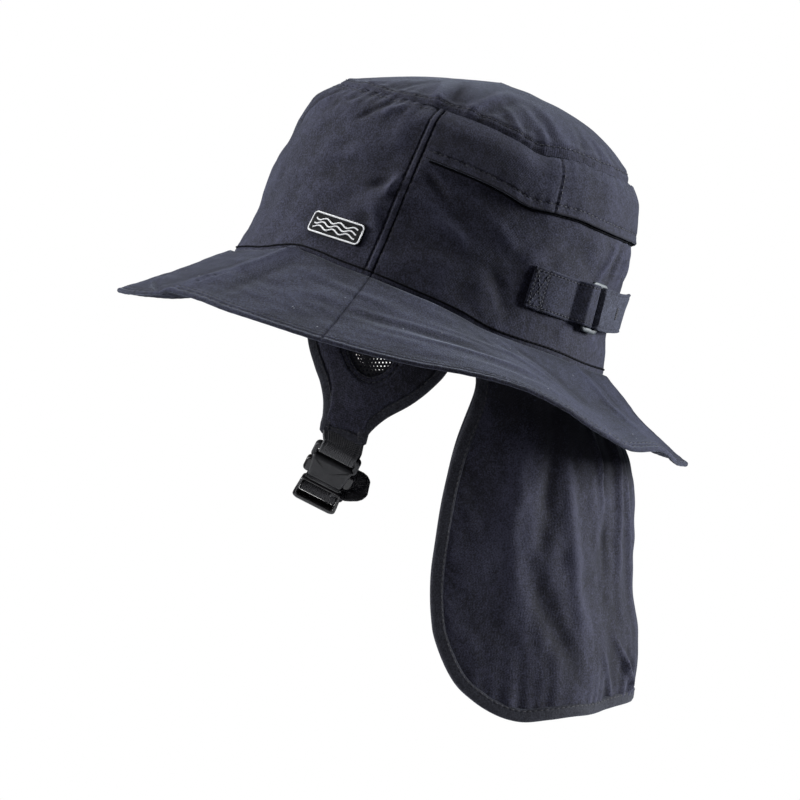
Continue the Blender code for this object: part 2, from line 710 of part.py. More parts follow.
def ear_flap(side, mirrored, cloth, trim):
    """A padded flap with a window, and the binding folded over its edge."""
    count = len(EAR_OUTLINE["forward"])
    at = even_turns(count, EAR_STEPS)
    rings = np.array([0, 0.31, 0.5, 1.0])
    padding = np.interp(rings, rings, [EAR_EDGE, EAR_EDGE, EAR_PADDING, EAR_PADDING * 0.7])
    half = padding / 2 + 0 * at[:, None]
    mesh = cloth_mesh(f"ear_flap_{side}", ear_place, at, rings, half, -half, closed=True,
                      mirrored=mirrored)
    add_object(f"ear_flap_{side}", cloth, mesh)
    path = ear_place(at, 0 * at)
    normal = surface_normals(ear_place, at, 0 * at)
    along = np.roll(path, -1, axis=0) - np.roll(path, 1, axis=0)
    inward = np.cross(normal, along)
    inward /= np.linalg.norm(inward, axis=-1, keepdims=True)
    mesh = binding_mesh(f"ear_binding_{side}", path, inward, normal, BINDING_WIDTH,
                        EAR_EDGE / 2 + BINDING_PLAY, closed=True, mirrored=mirrored)
    add_object(f"ear_binding_{side}", trim, mesh)


def ear_net(side, mirrored, made_of):
    """The net in the ear flap's window: a sheet with rows of openings cut through it."""
    columns, rows = 2 * NET_HOLES_ACROSS + 1, 2 * NET_HOLES_UP + 1
    def lines(holes):
        """Edges of the bars and holes from -1 to 1, bars and holes by turns."""
        bar, hole = (1 - NET_HOLE_SHARE), NET_HOLE_SHARE
        widths = np.array([bar, hole] * holes + [bar])
        return np.concatenate([[0], np.cumsum(widths)]) / widths.sum() * 2 - 1
    u, v = np.meshgrid(lines(NET_HOLES_ACROSS), lines(NET_HOLES_UP), indexing="ij")
    y = WINDOW_CENTRE_Y + (WINDOW_WIDTH / 2 - LAYER_GAP) * u * np.sqrt(1 - v**2 / 2)
    z = WINDOW_CENTRE_Z + (WINDOW_HEIGHT / 2 - LAYER_GAP) * v * np.sqrt(1 - u**2 / 2)
    sides = [ear_cloth(y, z, EAR_DEPTH - lift).reshape(-1, 3) for lift in (NET_THICKNESS / 2, -NET_THICKNESS / 2)]
    count = u.size
    stride = rows + 1
    solid = [[not (i % 2 and j % 2) for j in range(rows)] for i in range(columns)]
    faces = []
    for i in range(columns):
        for j in range(rows):
            if not solid[i][j]:
                continue
            a, b = i * stride + j, (i + 1) * stride + j
            faces.append((a, b, b + 1, a + 1))
            faces.append((count + a, count + a + 1, count + b + 1, count + b))
            for di, dj, p, q in ((-1, 0, a, a + 1), (1, 0, b + 1, b), (0, -1, b, a), (0, 1, a + 1, b + 1)):
                inside = 0 <= i + di < columns and 0 <= j + dj < rows
                if not (inside and solid[i + di][j + dj]):
                    faces.append((p, q, count + q, count + p))
    mesh = outward(mesh_of(f"ear_net_{side}", np.concatenate(sides), faces, mirrored))
    add_object(f"ear_net_{side}", made_of, mesh)


def neck_place(u, v):
    """The neck flap: u runs from -1 and 1 at its front edges to 0 at the back, and v down it.

    Below 0, v runs up inside the crown's foot, as a share of NECK_DROP."""
    place = np.abs(u)
    depth = CLOTH + LAYER_GAP + BINDING_CLOTH + BINDING_PLAY + NECK_CLOTH / 2
    top_angle = 180 - place * (180 - NECK_START_ANGLE)
    top_x, top_y = oval(top_angle, HEAD_LENGTH - 2 * depth, HEAD_WIDTH - 2 * depth)
    foot = SEAM_WAVE * smooth(top_angle, ROUND["angle"], ROUND["foot"]) - FOOT_TUCK - LAYER_GAP
    top = tilted(np.stack([top_x, top_y, foot], -1))
    hem = -NECK_DROP * smooth(place, NECK_HEM["place"], NECK_HEM["drop"])
    z = top[..., 2] + (hem - top[..., 2]) * np.maximum(v, 0)
    drop = np.clip(-z / NECK_DROP, 0, 1)
    edge = smooth(drop, NECK_SIDE["drop"], NECK_SIDE["edge"])
    back = smooth(drop, NECK_SIDE["drop"], NECK_SIDE["back"])
    edge_angle = np.degrees(np.arccos(-((edge / back) ** (OVAL_POWER / 2))))
    angle = 180 - place * (180 - edge_angle)
    x, y = oval(angle, 2 * NECK_BACK * back, NECK_WIDTH)
    push = np.zeros(np.shape(x))
    for at, width, deep in zip(*NECK_FOLDS.values()):
        push = push + NECK_FOLD * deep * np.exp(-(((u - at) / width) ** 2))
    push = push * ease(drop * 1.3) * (1 - place**4)
    hang = ease((top[..., 2] - z) / NECK_EASE)
    x = top[..., 0] + (x + push * np.sin(np.radians(angle)) - top[..., 0]) * hang
    y = top[..., 1] + (y - push * np.cos(np.radians(angle)) - top[..., 1]) * hang
    tuck = np.maximum(-v, 0)[..., None] * NECK_DROP * tilted((0.0, 0.0, 1.0))
    return np.stack([np.where(u < 0, -x, x), y, z], -1) + tuck


def neck_flap(cloth, trim):
    """The long flap round the back of the neck, and the binding folded over its free edges."""
    half = 1 - (1 - np.linspace(0, 1, 12)) ** 1.5
    places = np.concatenate([-half[::-1], half[1:]])
    drops = np.concatenate([[-NECK_TUCK / NECK_DROP], np.linspace(0, 1, 11)])
    mesh = cloth_mesh("neck_flap", neck_place, places, drops, NECK_CLOTH / 2, -NECK_CLOTH / 2)
    add_object("neck_flap", cloth, outward(mesh))
    side_drops = drops[1:-1]
    u = np.concatenate([-np.ones(len(side_drops)), places, np.ones(len(side_drops))])
    v = np.concatenate([side_drops, np.ones(len(places)), side_drops[::-1]])
    path = neck_place(u, v)
    normal = surface_normals(neck_place, np.clip(u, -0.97, 0.97), np.clip(v, 0, 0.995))
    along = np.gradient(path, axis=0)
    inward = np.cross(normal, along)
    inward /= np.linalg.norm(inward, axis=-1, keepdims=True)
    inward *= np.where(inward[len(u) // 2, 2] > 0, 1, -1)
    mesh = binding_mesh("neck_binding", path, inward, normal, NECK_BINDING_WIDTH,
                        NECK_CLOTH / 2 + BINDING_PLAY)
    add_object("neck_binding", trim, mesh)


def buckle_frame():
    """Where the buckle hangs: its top's middle, with its own axes across, outwards and down it."""
    forward, inside = np.radians(BUCKLE_LEAN_FORWARD), np.radians(BUCKLE_LEAN_INWARD)
    down = np.array([-np.sin(inside), -np.cos(inside) * np.sin(forward), -np.cos(inside) * np.cos(forward)])
    across = np.array([0, np.cos(forward), -np.sin(forward)])
    out = np.cross(down, across)
    y, z = ear_outline(np.array(8.0))
    foot = ear_cloth(y, z, EAR_DEPTH)
    return foot + np.array([0.0, -2.7, -5.9]), across, out, down


def buckle_point(across_share, out_share, down_share):
    """World place of a point in the buckle's own frame, in millimetres."""
    origin, across, out, down = buckle_frame()
    return origin + across_share * across + out_share * out + down_share * down


def block(name, low, high, hidden=True):
    """A box between two corners in the buckle's frame. A hidden one only cuts or joins."""
    corners = [(x, y, z) for x in (low[0], high[0]) for y in (low[1], high[1]) for z in (low[2], high[2])]
    faces = [(0, 1, 3, 2), (4, 6, 7, 5), (0, 4, 5, 1), (2, 3, 7, 6), (0, 2, 6, 4), (1, 5, 7, 3)]
    made = bpy.data.objects.new(name, outward(mesh_of(name, corners, faces)))
    bpy.context.scene.collection.objects.link(made)
    origin, across, out, down = buckle_frame()
    turn = Matrix((across, out, down)).transposed().to_4x4()
    made.matrix_world = Matrix.Translation(Vector(origin * MM)) @ turn
    made.hide_render = hidden
    if hidden:
        made.display_type = "WIRE"
    return made


def combine(target, other, operation):
    """Cuts the other block from the target, or joins it on."""
    modifier = target.modifiers.new(other.name, "BOOLEAN")
    modifier.operation = operation
    modifier.object = other
    modifier.solver = "EXACT"


def rounded(target, radius):
    """Rounded edges on a moulded piece."""
    modifier = target.modifiers.new("rounded", "BEVEL")
    modifier.width = radius * MM
    modifier.segments = 2
    modifier.limit_method = "ANGLE"


BAR_HALF = 1.4
SLOT_HALF = WEBBING_WIDTH / 2 + 2 * GAP
MOUTH_HALF = 2.6
PRONG_HALF = MOUTH_HALF - GAP


def buckle(plastic):
    """The two halves of the side-release buckle, pushed together."""
    half, thick = BUCKLE_WIDTH / 2, BUCKLE_THICKNESS / 2
    beyond = thick + 1
    slot_end = BUCKLE_BAR + BUCKLE_SLOT
    socket = block("buckle_socket", (-half, -thick, 0), (half, thick, SOCKET_LENGTH), hidden=False)
    rounded(socket, 1.2)
    mouth = slot_end + BUCKLE_BAR
    window = (mouth + 1.8, mouth + 8.4)
    cuts = (
        ("slot", (-SLOT_HALF, -beyond, BUCKLE_BAR), (SLOT_HALF, beyond, slot_end)),
        ("recess_front", (-SLOT_HALF, BAR_HALF, -1), (SLOT_HALF, beyond, slot_end - 0.1)),
        ("recess_back", (-SLOT_HALF, -beyond, -1), (SLOT_HALF, -BAR_HALF, slot_end - 0.1)),
        ("mouth", (-half + 2.8, -MOUTH_HALF, mouth), (half - 2.8, MOUTH_HALF, SOCKET_LENGTH + 1)),
        ("windows", (-half - 1, -MOUTH_HALF, window[0]), (half + 1, MOUTH_HALF, window[1])),
    )
    for name, low, high in cuts:
        combine(socket, block(f"socket_{name}", low, high), "DIFFERENCE")
    start = SOCKET_LENGTH + GAP
    end = start + PLUG_LENGTH
    arm = half - 2.8 - GAP
    plug_half, plug_thick = half - 1, thick - 0.8
    plug = block("buckle_plug", (-plug_half, -plug_thick, start), (plug_half, plug_thick, end), hidden=False)
    rounded(plug, 1.0)
    slots = plug_slots()
    joins = (
        ("arm_left", (arm - 3, -PRONG_HALF, mouth + 1), (arm, PRONG_HALF, start + 1)),
        ("arm_right", (-arm, -PRONG_HALF, mouth + 1), (-arm + 3, PRONG_HALF, start + 1)),
        ("prong_left", (arm - 1, -PRONG_HALF, window[0] + GAP), (half - 0.4, PRONG_HALF, window[1] - GAP)),
        ("prong_right", (-half + 0.4, -PRONG_HALF, window[0] + GAP), (-arm + 1, PRONG_HALF, window[1] - GAP)),
        ("tongue", (-2, -PRONG_HALF, mouth + 2), (2, PRONG_HALF, start + 1)),
    )
    for name, low, high in joins:
        combine(plug, block(f"plug_{name}", low, high), "UNION")
    for k, (low, high) in enumerate(slots):
        cutter = block(f"plug_slot_{k}", (-SLOT_HALF, -beyond, low), (SLOT_HALF, beyond, high))
        combine(plug, cutter, "DIFFERENCE")
    for side, (low, high) in (("front", (BAR_HALF, beyond)), ("back", (-beyond, -BAR_HALF))):
        cutter = block(f"plug_recess_{side}", (-SLOT_HALF, low, slots[0][0] + 0.1),
                       (SLOT_HALF, high, slots[1][1] - 0.1))
        combine(plug, cutter, "DIFFERENCE")
    for piece in (socket, plug):
        piece.data.materials.append(plastic)


def plug_slots():
    """How far down the buckle the plug's two slots start and end."""
    start = SOCKET_LENGTH + GAP + 2.0
    bar = 1.8
    return (start, start + BUCKLE_SLOT), (start + BUCKLE_SLOT + bar, start + 2 * BUCKLE_SLOT + bar)


def chin_strap(made_of):
    """The webbing: a short loop on the left, and the long run from the right flap to its tail."""
    _, across, out, down = buckle_frame()
    bar = BAR_HALF + GAP + WEBBING_THICKNESS / 2 + 0.2
    middle = BUCKLE_BAR + BUCKLE_SLOT / 2
    loop = (
        (0.95, -2.6), (bar, -1.0), (bar + 0.2, 1.4), (bar - 0.6, middle - 0.5), (0, middle + 0.2),
        (-bar + 0.6, middle - 0.5), (-bar - 0.2, 1.4), (-bar, -1.0), (-0.95, -2.6),
    )
    route = [buckle_point(0, n, a) for n, a in loop]
    mesh = ribbon_mesh("webbing_left", route, [across] * len(route), WEBBING_WIDTH, WEBBING_THICKNESS, 20)
    add_object("webbing_left", made_of, mesh)
    (_, low), (high, _) = plug_slots()
    centre_1, centre_2 = low - BUCKLE_SLOT / 2, high + BUCKLE_SLOT / 2
    y, z = ear_outline(np.array(8.0))
    start = ear_cloth(y, z, EAR_DEPTH) * (-1, 1, 1) + (0.4, -0.9, -3.1)
    plug_end = buckle_point(0, -3.8, centre_2 + 0.5)
    level = (start[2] + plug_end[2]) / 2
    far = np.array([0, np.cos(np.radians(20.0)), -np.sin(np.radians(20.0))])
    route = [
        start,
        start + (1.6, -0.6, -5.0),
        np.array([start[0] * 0.72, start[1] - 2.0, level + 3.0]),
        np.array([0.0, (start[1] + plug_end[1]) / 2, level - 7.0]),
        np.array([plug_end[0] * 0.7, plug_end[1] + 2.5, plug_end[2] - 0.5]),
        plug_end,
    ]
    sides = [far, far, far, (far + across) / 2, across, across]
    round_bar = ((0.0, centre_2 + 0.4), (bar - 0.5, high + 0.9), (bar, (low + high) / 2),
                 (bar - 0.5, low - 0.9), (0.0, centre_1 - 0.4), (-3.4, centre_1 - 0.1))
    for n, a in round_bar:
        route.append(buckle_point(0, n, a))
        sides.append(across)
    leave = np.array([1.5, -5.6, centre_1 - 3.0])
    finish = np.array([19.0, -6.8, centre_1 + 4.0 - TAIL_LENGTH * 0.6])
    tail_side = across * 0.93 + down * 0.36
    route += [buckle_point(*leave), buckle_point(*((leave + finish) / 2)), buckle_point(*finish)]
    sides += [across, (across + tail_side) / 2, tail_side]
    mesh = ribbon_mesh("webbing_right", route, sides, WEBBING_WIDTH, WEBBING_THICKNESS, 56)
    add_object("webbing_right", made_of, mesh)


def build():
    """Clears the scene and makes every piece of the hat."""
    for old in list(bpy.data.objects):
        bpy.data.objects.remove(old, do_unlink=True)
    hat_frame = bpy.data.objects.new("hat_frame", None)
    bpy.context.scene.collection.objects.link(hat_frame)
    hat_frame.rotation_euler.x = -np.radians(TILT_BACK)

    crown_cloth = material("crown_cloth", (0.020, 0.024, 0.036), 0.85)
    brim_cloth = material("brim_cloth", (0.026, 0.031, 0.044), 0.85)
    flap_cloth = material("flap_cloth", (0.018, 0.021, 0.032), 0.88)
    trim = material("trim", (0.012, 0.014, 0.021), 0.8)
    webbing = material("webbing", (0.008, 0.008, 0.010), 0.75)
    net = material("net", (0.010, 0.010, 0.013), 0.7)
    label_cloth = material("label_cloth", (0.020, 0.020, 0.022), 0.6)
    buckle_plastic = material("buckle_plastic", (0.020, 0.020, 0.022), 0.4)
    slider_plastic = material("slider_plastic", (0.10, 0.12, 0.13), 0.4)

    seam, back = SIDE_SEAM_ANGLE, 360 - SIDE_SEAM_ANGLE
    crown_wall("crown_front", crown_cloth, hat_frame, -seam, seam, 19)
    crown_wall("crown_back", crown_cloth, hat_frame, seam, back, 26)
    crown_top(crown_cloth, hat_frame)
    crown_yoke(crown_cloth, hat_frame)
    brim_panel("brim_front", brim_cloth, hat_frame, -seam, seam, 27)
    brim_panel("brim_back", brim_cloth, hat_frame, seam, back, 33)
    label(label_cloth, hat_frame)
    rear_strap(crown_cloth, hat_frame)
    for side, mirrored in (("left", False), ("right", True)):
        adjuster_side(side, mirrored, crown_cloth, slider_plastic, hat_frame)
        ear_flap(side, mirrored, flap_cloth, trim)
        ear_net(side, mirrored, net)
    neck_flap(flap_cloth, trim)
    buckle(buckle_plastic)
    chin_strap(webbing)
    bpy.context.view_layer.update()


build()
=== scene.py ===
"""The looks of a surf hat in dark peached microfibre: puffed crown with an overhanging yoke, all-round
brim, padded ear flaps, chin strap with its buckle, rear size adjuster and a long bound neck flap.

Lengths are in millimetres until a mesh is made. The hat's own frame leans back about X in the world."""

import bmesh
import bpy
import numpy as np
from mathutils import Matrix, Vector


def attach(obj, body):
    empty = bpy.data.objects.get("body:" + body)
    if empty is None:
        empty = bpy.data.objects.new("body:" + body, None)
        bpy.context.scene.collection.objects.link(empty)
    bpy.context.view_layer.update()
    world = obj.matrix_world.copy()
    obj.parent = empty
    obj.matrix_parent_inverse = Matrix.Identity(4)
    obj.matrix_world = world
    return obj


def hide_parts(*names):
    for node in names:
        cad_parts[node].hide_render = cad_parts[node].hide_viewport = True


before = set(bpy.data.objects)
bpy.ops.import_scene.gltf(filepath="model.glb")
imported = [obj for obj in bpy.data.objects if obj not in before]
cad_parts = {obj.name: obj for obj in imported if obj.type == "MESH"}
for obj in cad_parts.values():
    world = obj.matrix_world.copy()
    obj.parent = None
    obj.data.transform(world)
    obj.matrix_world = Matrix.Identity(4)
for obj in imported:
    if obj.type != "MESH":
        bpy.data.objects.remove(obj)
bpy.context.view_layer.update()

# Studio
# A pale floor below the hanging hat, soft boxes above, in front and behind, and a camera that looks
# at the wearer's left side from a little above the brim.
MM = 0.001
CAMERA_AZIMUTH = 90.0
CAMERA_RISE = 1.5
CAMERA_DISTANCE = 1400.0
CAMERA_LENS = 120.0
CAMERA_TARGET = (1.2, -10.2, -46.9)
FLOOR_HEIGHT = -330.0
FLOOR_SIDE = 760.0
WORLD_SEEN = (1.0, 1.0, 1.0)
WORLD_AMBIENT = (0.034, 0.035, 0.046)
SOFT_BOXES = (
    # name, place (mm), size (mm), power (W), colour
    ("box_above", (0, -200, 1300), 600, 14.0, (0.97, 0.98, 1.0)),
    ("box_front", (150, -1350, 420), 500, 26.0, (0.95, 0.97, 1.0)),
    ("box_back", (60, 1300, 60), 450, 36.0, (0.93, 0.96, 1.0)),
    ("box_camera", (1300, -900, 500), 500, 3.6, (0.97, 0.97, 1.0)),
)


def direction(azimuth, rise):
    """Unit vector from the hat towards a viewer: azimuth 0 is the front, -Y, and 90 the left, +X."""
    turn, up = np.radians(azimuth), np.radians(rise)
    return np.array([np.sin(turn) * np.cos(up), -np.cos(turn) * np.cos(up), np.sin(up)])


def aimed(thing, place, target):
    """Puts a camera or a light at a place, looking at a target, both in millimetres."""
    thing.location = Vector(place) * MM
    thing.rotation_euler = (Vector(place) - Vector(target)).to_track_quat("Z", "Y").to_euler()
    bpy.context.scene.collection.objects.link(thing)


camera = bpy.data.objects.new("camera", bpy.data.cameras.new("camera"))
camera.data.lens = CAMERA_LENS
camera.data.sensor_width = 36.0
camera.data.clip_end = 100.0
camera_offset = CAMERA_DISTANCE * direction(CAMERA_AZIMUTH, CAMERA_RISE)
aimed(camera, np.array(CAMERA_TARGET) + camera_offset, CAMERA_TARGET)
bpy.context.scene.camera = camera

for box_name, box_place, box_side, box_power, box_colour in SOFT_BOXES:
    lamp = bpy.data.lights.new(box_name, "AREA")
    lamp.shape = "SQUARE"
    lamp.size = box_side * MM
    lamp.energy = box_power
    lamp.color = box_colour
    aimed(bpy.data.objects.new(box_name, lamp), box_place, (0, 0, -40))

def fed(tree, node, inputs):
    """Fills the inputs of a shader node: a socket is linked, anything else is its own constant."""
    for key, value in inputs.items():
        if isinstance(value, bpy.types.NodeSocket):
            tree.links.new(value, node.inputs[key])
        else:
            node.inputs[key].default_value = value
    return node


def add_node(tree, kind, inputs=None, **settings):
    """A new shader node, with its settings made before its inputs."""
    node = tree.nodes.new("ShaderNode" + kind)
    for key, value in settings.items():
        setattr(node, key, value)
    return fed(tree, node, inputs or {})


def new_material(name, constants):
    """A material with constants on its shader's own sockets, its node tree and that shader."""
    made = bpy.data.materials.new(name)
    made.use_nodes = True
    return made, made.node_tree, fed(made.node_tree, made.node_tree.nodes["Principled BSDF"], constants)


world = bpy.data.worlds.new("studio")
world.use_nodes = True
sky = world.node_tree
ambient = fed(sky, sky.nodes["Background"], {"Color": (*WORLD_AMBIENT, 1)})
seen = add_node(sky, "Background", {"Color": (*WORLD_SEEN, 1)})
camera_ray = add_node(sky, "LightPath").outputs["Is Camera Ray"]
mixed = add_node(sky, "MixShader", {"Fac": camera_ray, 1: ambient.outputs[0], 2: seen.outputs[0]})
fed(sky, sky.nodes["World Output"], {"Surface": mixed.outputs[0]})
bpy.context.scene.world = world
bpy.context.scene.view_settings.view_transform = "Standard"

floor_half = FLOOR_SIDE / 2 * MM
floor_mesh = bpy.data.meshes.new("floor")
floor_mesh.from_pydata([(x * floor_half, y * floor_half, FLOOR_HEIGHT * MM)
                        for x, y in ((-1, -1), (1, -1), (1, 1), (-1, 1))], [], [(0, 1, 2, 3)])
floor = bpy.data.objects.new("floor", floor_mesh)
bpy.context.scene.collection.objects.link(floor)
paper, _, _ = new_material("floor_paper", {"Base Color": (0.86, 0.86, 0.87, 1), "Roughness": 0.9})
floor_mesh.materials.append(paper)

# Crown wall
# Two soft cloth panels, front and back, joined by a felled seam at each side that is sewn down with
# two rows of stitches. The wall is shaped by the head inside and hangs in soft dents and creases.
TILT_BACK = 18.5
HEAD_LENGTH = 203.0
HEAD_WIDTH = 169.0
OVAL_POWER = 2.25
OVAL_EGG = 0.05
CROWN_HEIGHT = 97.5
CROWN_BULGE = 8.0
TOP_LENGTH = 160.0
TOP_WIDTH = 132.0
TOP_SHIFT = 2.5
SEAM_WAVE = 10.0
TOP_WAVE = 5.0
SIDE_SEAM_ANGLE = 76.2
FELL_WIDTH = 3.3
FOOT_TUCK = 3.0
FOLD_DEPTH = 1.6
FOLD_REACH = 9.0
CLOTH = 1.5
LAYER_GAP = 0.45


def table(columns, text):
    """Named columns of a short table, one array for each name: commas part its rows."""
    names = columns.split()
    return dict(zip(names, np.array(text.replace(",", " ").split(), float).reshape(-1, len(names)).T))


ROUND = table("angle foot top brim", """
    0 0 0.05 -0.95,  12 0.02 0.03 -0.88,  24 0.2 0 -0.66,  36 0.48 0 -0.26,  43 0.78 0 0.07,
    49 1.02 0 0.13,  57 1.06 0.05 0.06,  66 0.95 0.15 0.13,  76 0.88 0.22 0.18,  84 0.77 0.08 0.3,
    91 0.63 -0.08 0.56,  99 0.44 -0.45 0.95,  108 0.13 -1.04 1.1,  118 0.08 -0.62 0.75,
    128 0.1 -0.33 0.12,  136 0.06 -0.43 -0.13,  147 -0.03 -0.4 0.26,  156 -0.03 -0.35 -0.06,
    168 0 -0.25 -0.05,  180 0 -0.15 -0.03""")
BULGE = table("height front side back", """
    0 0 0 0,  0.18 0.06 0.06 -0.12,  0.33 0.41 0.22 0.1,  0.5 0.79 0.42 0.5,  0.7 1 0.62 0.7,
    0.83 1.05 0.69 0.7,  0.93 0.84 0.55 0.52,  1 0 0 0""")
FOLDS = table("angle_1 height_1 angle_2 height_2 depth reach", """
    28 0.95 6 0.68 -1 1,  72 0.48 66 0.3 0.9 0.8,  50 0.55 60 0.42 -0.6 1.2,  88 0.42 112 0.22 -0.8 1.2,
    100 0.3 84 0.1 0.7 1,  128 0.56 150 0.46 -0.9 0.9,  -35 0.9 -12 0.62 -0.9 1,
    -60 0.5 -72 0.25 0.8 1.1,  -95 0.4 -118 0.24 -0.8 1.2,  -128 0.56 -150 0.46 -0.9 0.9""")
# Small creases of the wall, by angle and height share, with depth and width in millimetres
CREASES = table("angle_1 height_1 angle_2 height_2 depth width", """
    27 0.965 2 0.68 -0.8 2.2,  33 0.97 12 0.74 0.6 3,  46 0.98 30 0.84 -0.5 2.4,  58 0.98 48 0.8 -0.7 2,
    64 0.97 56 0.86 0.6 2.2,  72.4 0.56 70.6 0.44 1.1 2,  70 0.52 64.5 0.46 -0.9 2.4,
    68.5 0.36 73 0.22 0.7 2.6,  60 0.62 40 0.55 0.4 4,  79.5 0.64 88 0.52 -0.7 2.6,
    80.5 0.5 96 0.34 0.6 3.4,  96 0.56 118 0.4 0.5 4,  104 0.3 112 0.12 -0.5 3.4,
    152 0.66 146 0.44 0.9 2.2,  158 0.68 153 0.46 -0.9 1.9,  162 0.7 160 0.46 1 1.7,
    167 0.68 166 0.44 -0.8 1.6,  172 0.7 171 0.48 0.8 1.9,  148 0.16 158 0.1 0.5 3,
    -30 0.95 -6 0.7 -0.7 2.4,  -50 0.97 -40 0.8 0.6 2.4,  -66 0.5 -72 0.4 0.9 2.2,
    -84 0.55 -102 0.38 -0.6 3,  -118 0.52 -134 0.34 0.6 3.4,  -156 0.68 -150 0.44 0.8 2,
    -165 0.68 -162 0.46 -0.8 1.8""")


def smooth(at, knots, values):
    """Values at some places of a smooth curve through the knots."""
    slopes = np.gradient(values, knots)
    i = np.clip(np.searchsorted(knots, at) - 1, 0, len(knots) - 2)
    span = knots[i + 1] - knots[i]
    t = np.clip((at - knots[i]) / span, -0.05, 1.05)
    rise = values[i] * (2 * t**3 - 3 * t**2 + 1) + values[i + 1] * (3 * t**2 - 2 * t**3)
    return rise + span * (slopes[i] * (t**3 - 2 * t**2 + t) + slopes[i + 1] * (t**3 - t**2))


def ease(t):
    """A smooth ramp from 0 to 1 as t goes from 0 to 1."""
    t = np.clip(t, 0, 1)
    return t * t * (3 - 2 * t)


def bell(away, width, power=2):
    """A soft ridge of height 1: exp(-(distance / width)^power)."""
    return np.exp(-((away / width) ** power))


def unit(vectors):
    """Vectors of length 1 with the same directions."""
    return vectors / np.maximum(np.linalg.norm(vectors, axis=-1, keepdims=True), 1e-9)


def raised(place, lift, normal):
    """Points moved off a surface by a lift along its normals."""
    return place + np.asarray(lift)[..., None] * normal


def folded(angle):
    """Angles of both sides of the hat as degrees from the front, 0 to 180."""
    return np.abs((angle + 180.0) % 360.0 - 180.0)


def signed_power(value, power):
    """The size of a value to a power, with the value's own sign."""
    return np.sign(value) * np.abs(value) ** power


def oval(angle, length, width):
    """Plan of the head's oval: a superellipse, narrower in front, with 0 in front and 90 at +X."""
    turn = np.radians(angle)
    x, y = signed_power(np.sin(turn), 2 / OVAL_POWER), -signed_power(np.cos(turn), 2 / OVAL_POWER)
    return width / 2 * x * (1 + OVAL_EGG * y), length / 2 * y


def around(angle):
    """Millimetres round the crown from the front, negative on the wearer's right."""
    return np.radians((angle + 180.0) % 360.0 - 180.0) * HEAD_WIDTH / 2
def turn_of(length):
    """Degrees that a length takes up round a circle as wide as the head."""
    return np.degrees(length / (HEAD_WIDTH / 2))

def from_line(x, y, x1, y1, x2, y2):
    """Distance of points from a straight line between two ends, and the share of the way along it."""
    run_x, run_y = x2 - x1, y2 - y1
    t = np.clip(((x - x1) * run_x + (y - y1) * run_y) / (run_x**2 + run_y**2), 0, 1)
    return np.hypot(x - x1 - t * run_x, y - y1 - t * run_y), t


def creased(x, y, rows, scale_x, scale_y):
    """Sum of soft ridges and grooves: depth * exp(-(distance / width)^2), faded at both ends."""
    push = np.zeros(np.broadcast(x, y).shape)
    for x1, y1, x2, y2, depth, width in zip(*rows.values()):
        away, t = from_line(x, y, x1 * scale_x, y1 * scale_y, x2 * scale_x, y2 * scale_y)
        push = push + depth * bell(away, width) * (0.35 + 0.65 * np.sin(np.pi * t))
    return push


def soft_noise(x, y, cell, seed):
    """Smooth random field from -1 to 1: seeded values on a square lattice, eased between them."""
    values = np.random.default_rng(seed).uniform(-1, 1, (64, 64))
    ix, iy = np.floor(x / cell).astype(int), np.floor(y / cell).astype(int)
    tx, ty = ease(x / cell - ix), ease(y / cell - iy)

    def corner(a, b):
        """Lattice values at one corner of each point's square."""
        return values[(ix + a) % 64, (iy + b) % 64]

    low = corner(0, 0) * (1 - tx) + corner(1, 0) * tx
    high = corner(0, 1) * (1 - tx) + corner(1, 1) * tx
    return low * (1 - ty) + high * ty


def puckers(along, away, pitch, reach, seed):
    """Ripples that cross a seam: a sine along it with a wandering phase, fading away from it."""
    phase = 2.5 * soft_noise(along, 0 * along, 2.2 * pitch, seed)
    height = 0.55 + 0.45 * soft_noise(along, 0 * along, 3.1 * pitch, seed + 1)
    return np.sin(2 * np.pi * along / pitch + phase) * height * np.exp(-np.abs(away) / reach)


def foot_wave(angle):
    """Height of the crown's foot seam over the head opening."""
    return SEAM_WAVE * smooth(folded(angle), ROUND["angle"], ROUND["foot"])


def top_wave(angle):
    """Height of the crown's top seam over its mean level."""
    return TOP_WAVE * smooth(folded(angle), ROUND["angle"], ROUND["top"])
def crown_at(angle, share):
    """Outer face of the crown's wall: an oval that narrows as it rises, pushed out by its bulge."""
    facing = np.cos(np.radians(folded(angle)))
    above = np.maximum(share, 0)
    x, y = oval(angle, HEAD_LENGTH + (TOP_LENGTH - HEAD_LENGTH) * above,
                HEAD_WIDTH + (TOP_WIDTH - HEAD_WIDTH) * above)
    bulge = smooth(share, BULGE["height"], BULGE["side"]) * (1 - facing**2)
    bulge = bulge + smooth(share, BULGE["height"], BULGE["front"]) * np.maximum(facing, 0) ** 2
    bulge = bulge + smooth(share, BULGE["height"], BULGE["back"]) * np.minimum(facing, 0) ** 2
    folds = np.zeros(np.broadcast(angle, share).shape)
    for a1, h1, a2, h2, depth, reach in zip(*FOLDS.values()):
        away, _ = from_line(around(angle), share * CROWN_HEIGHT, around(a1), h1 * CROWN_HEIGHT,
                            around(a2), h2 * CROWN_HEIGHT)
        folds = folds + depth * FOLD_DEPTH * bell(away, reach * FOLD_REACH)
    push = CROWN_BULGE * bulge + folds * np.sin(np.pi * np.clip(share, 0, 1)) ** 0.5
    turn = np.radians(angle)
    z = CROWN_HEIGHT * share + foot_wave(angle) * (1 - share) + top_wave(angle) * share
    return np.stack([x + push * np.sin(turn), y - push * np.cos(turn) + TOP_SHIFT * share, z], -1)


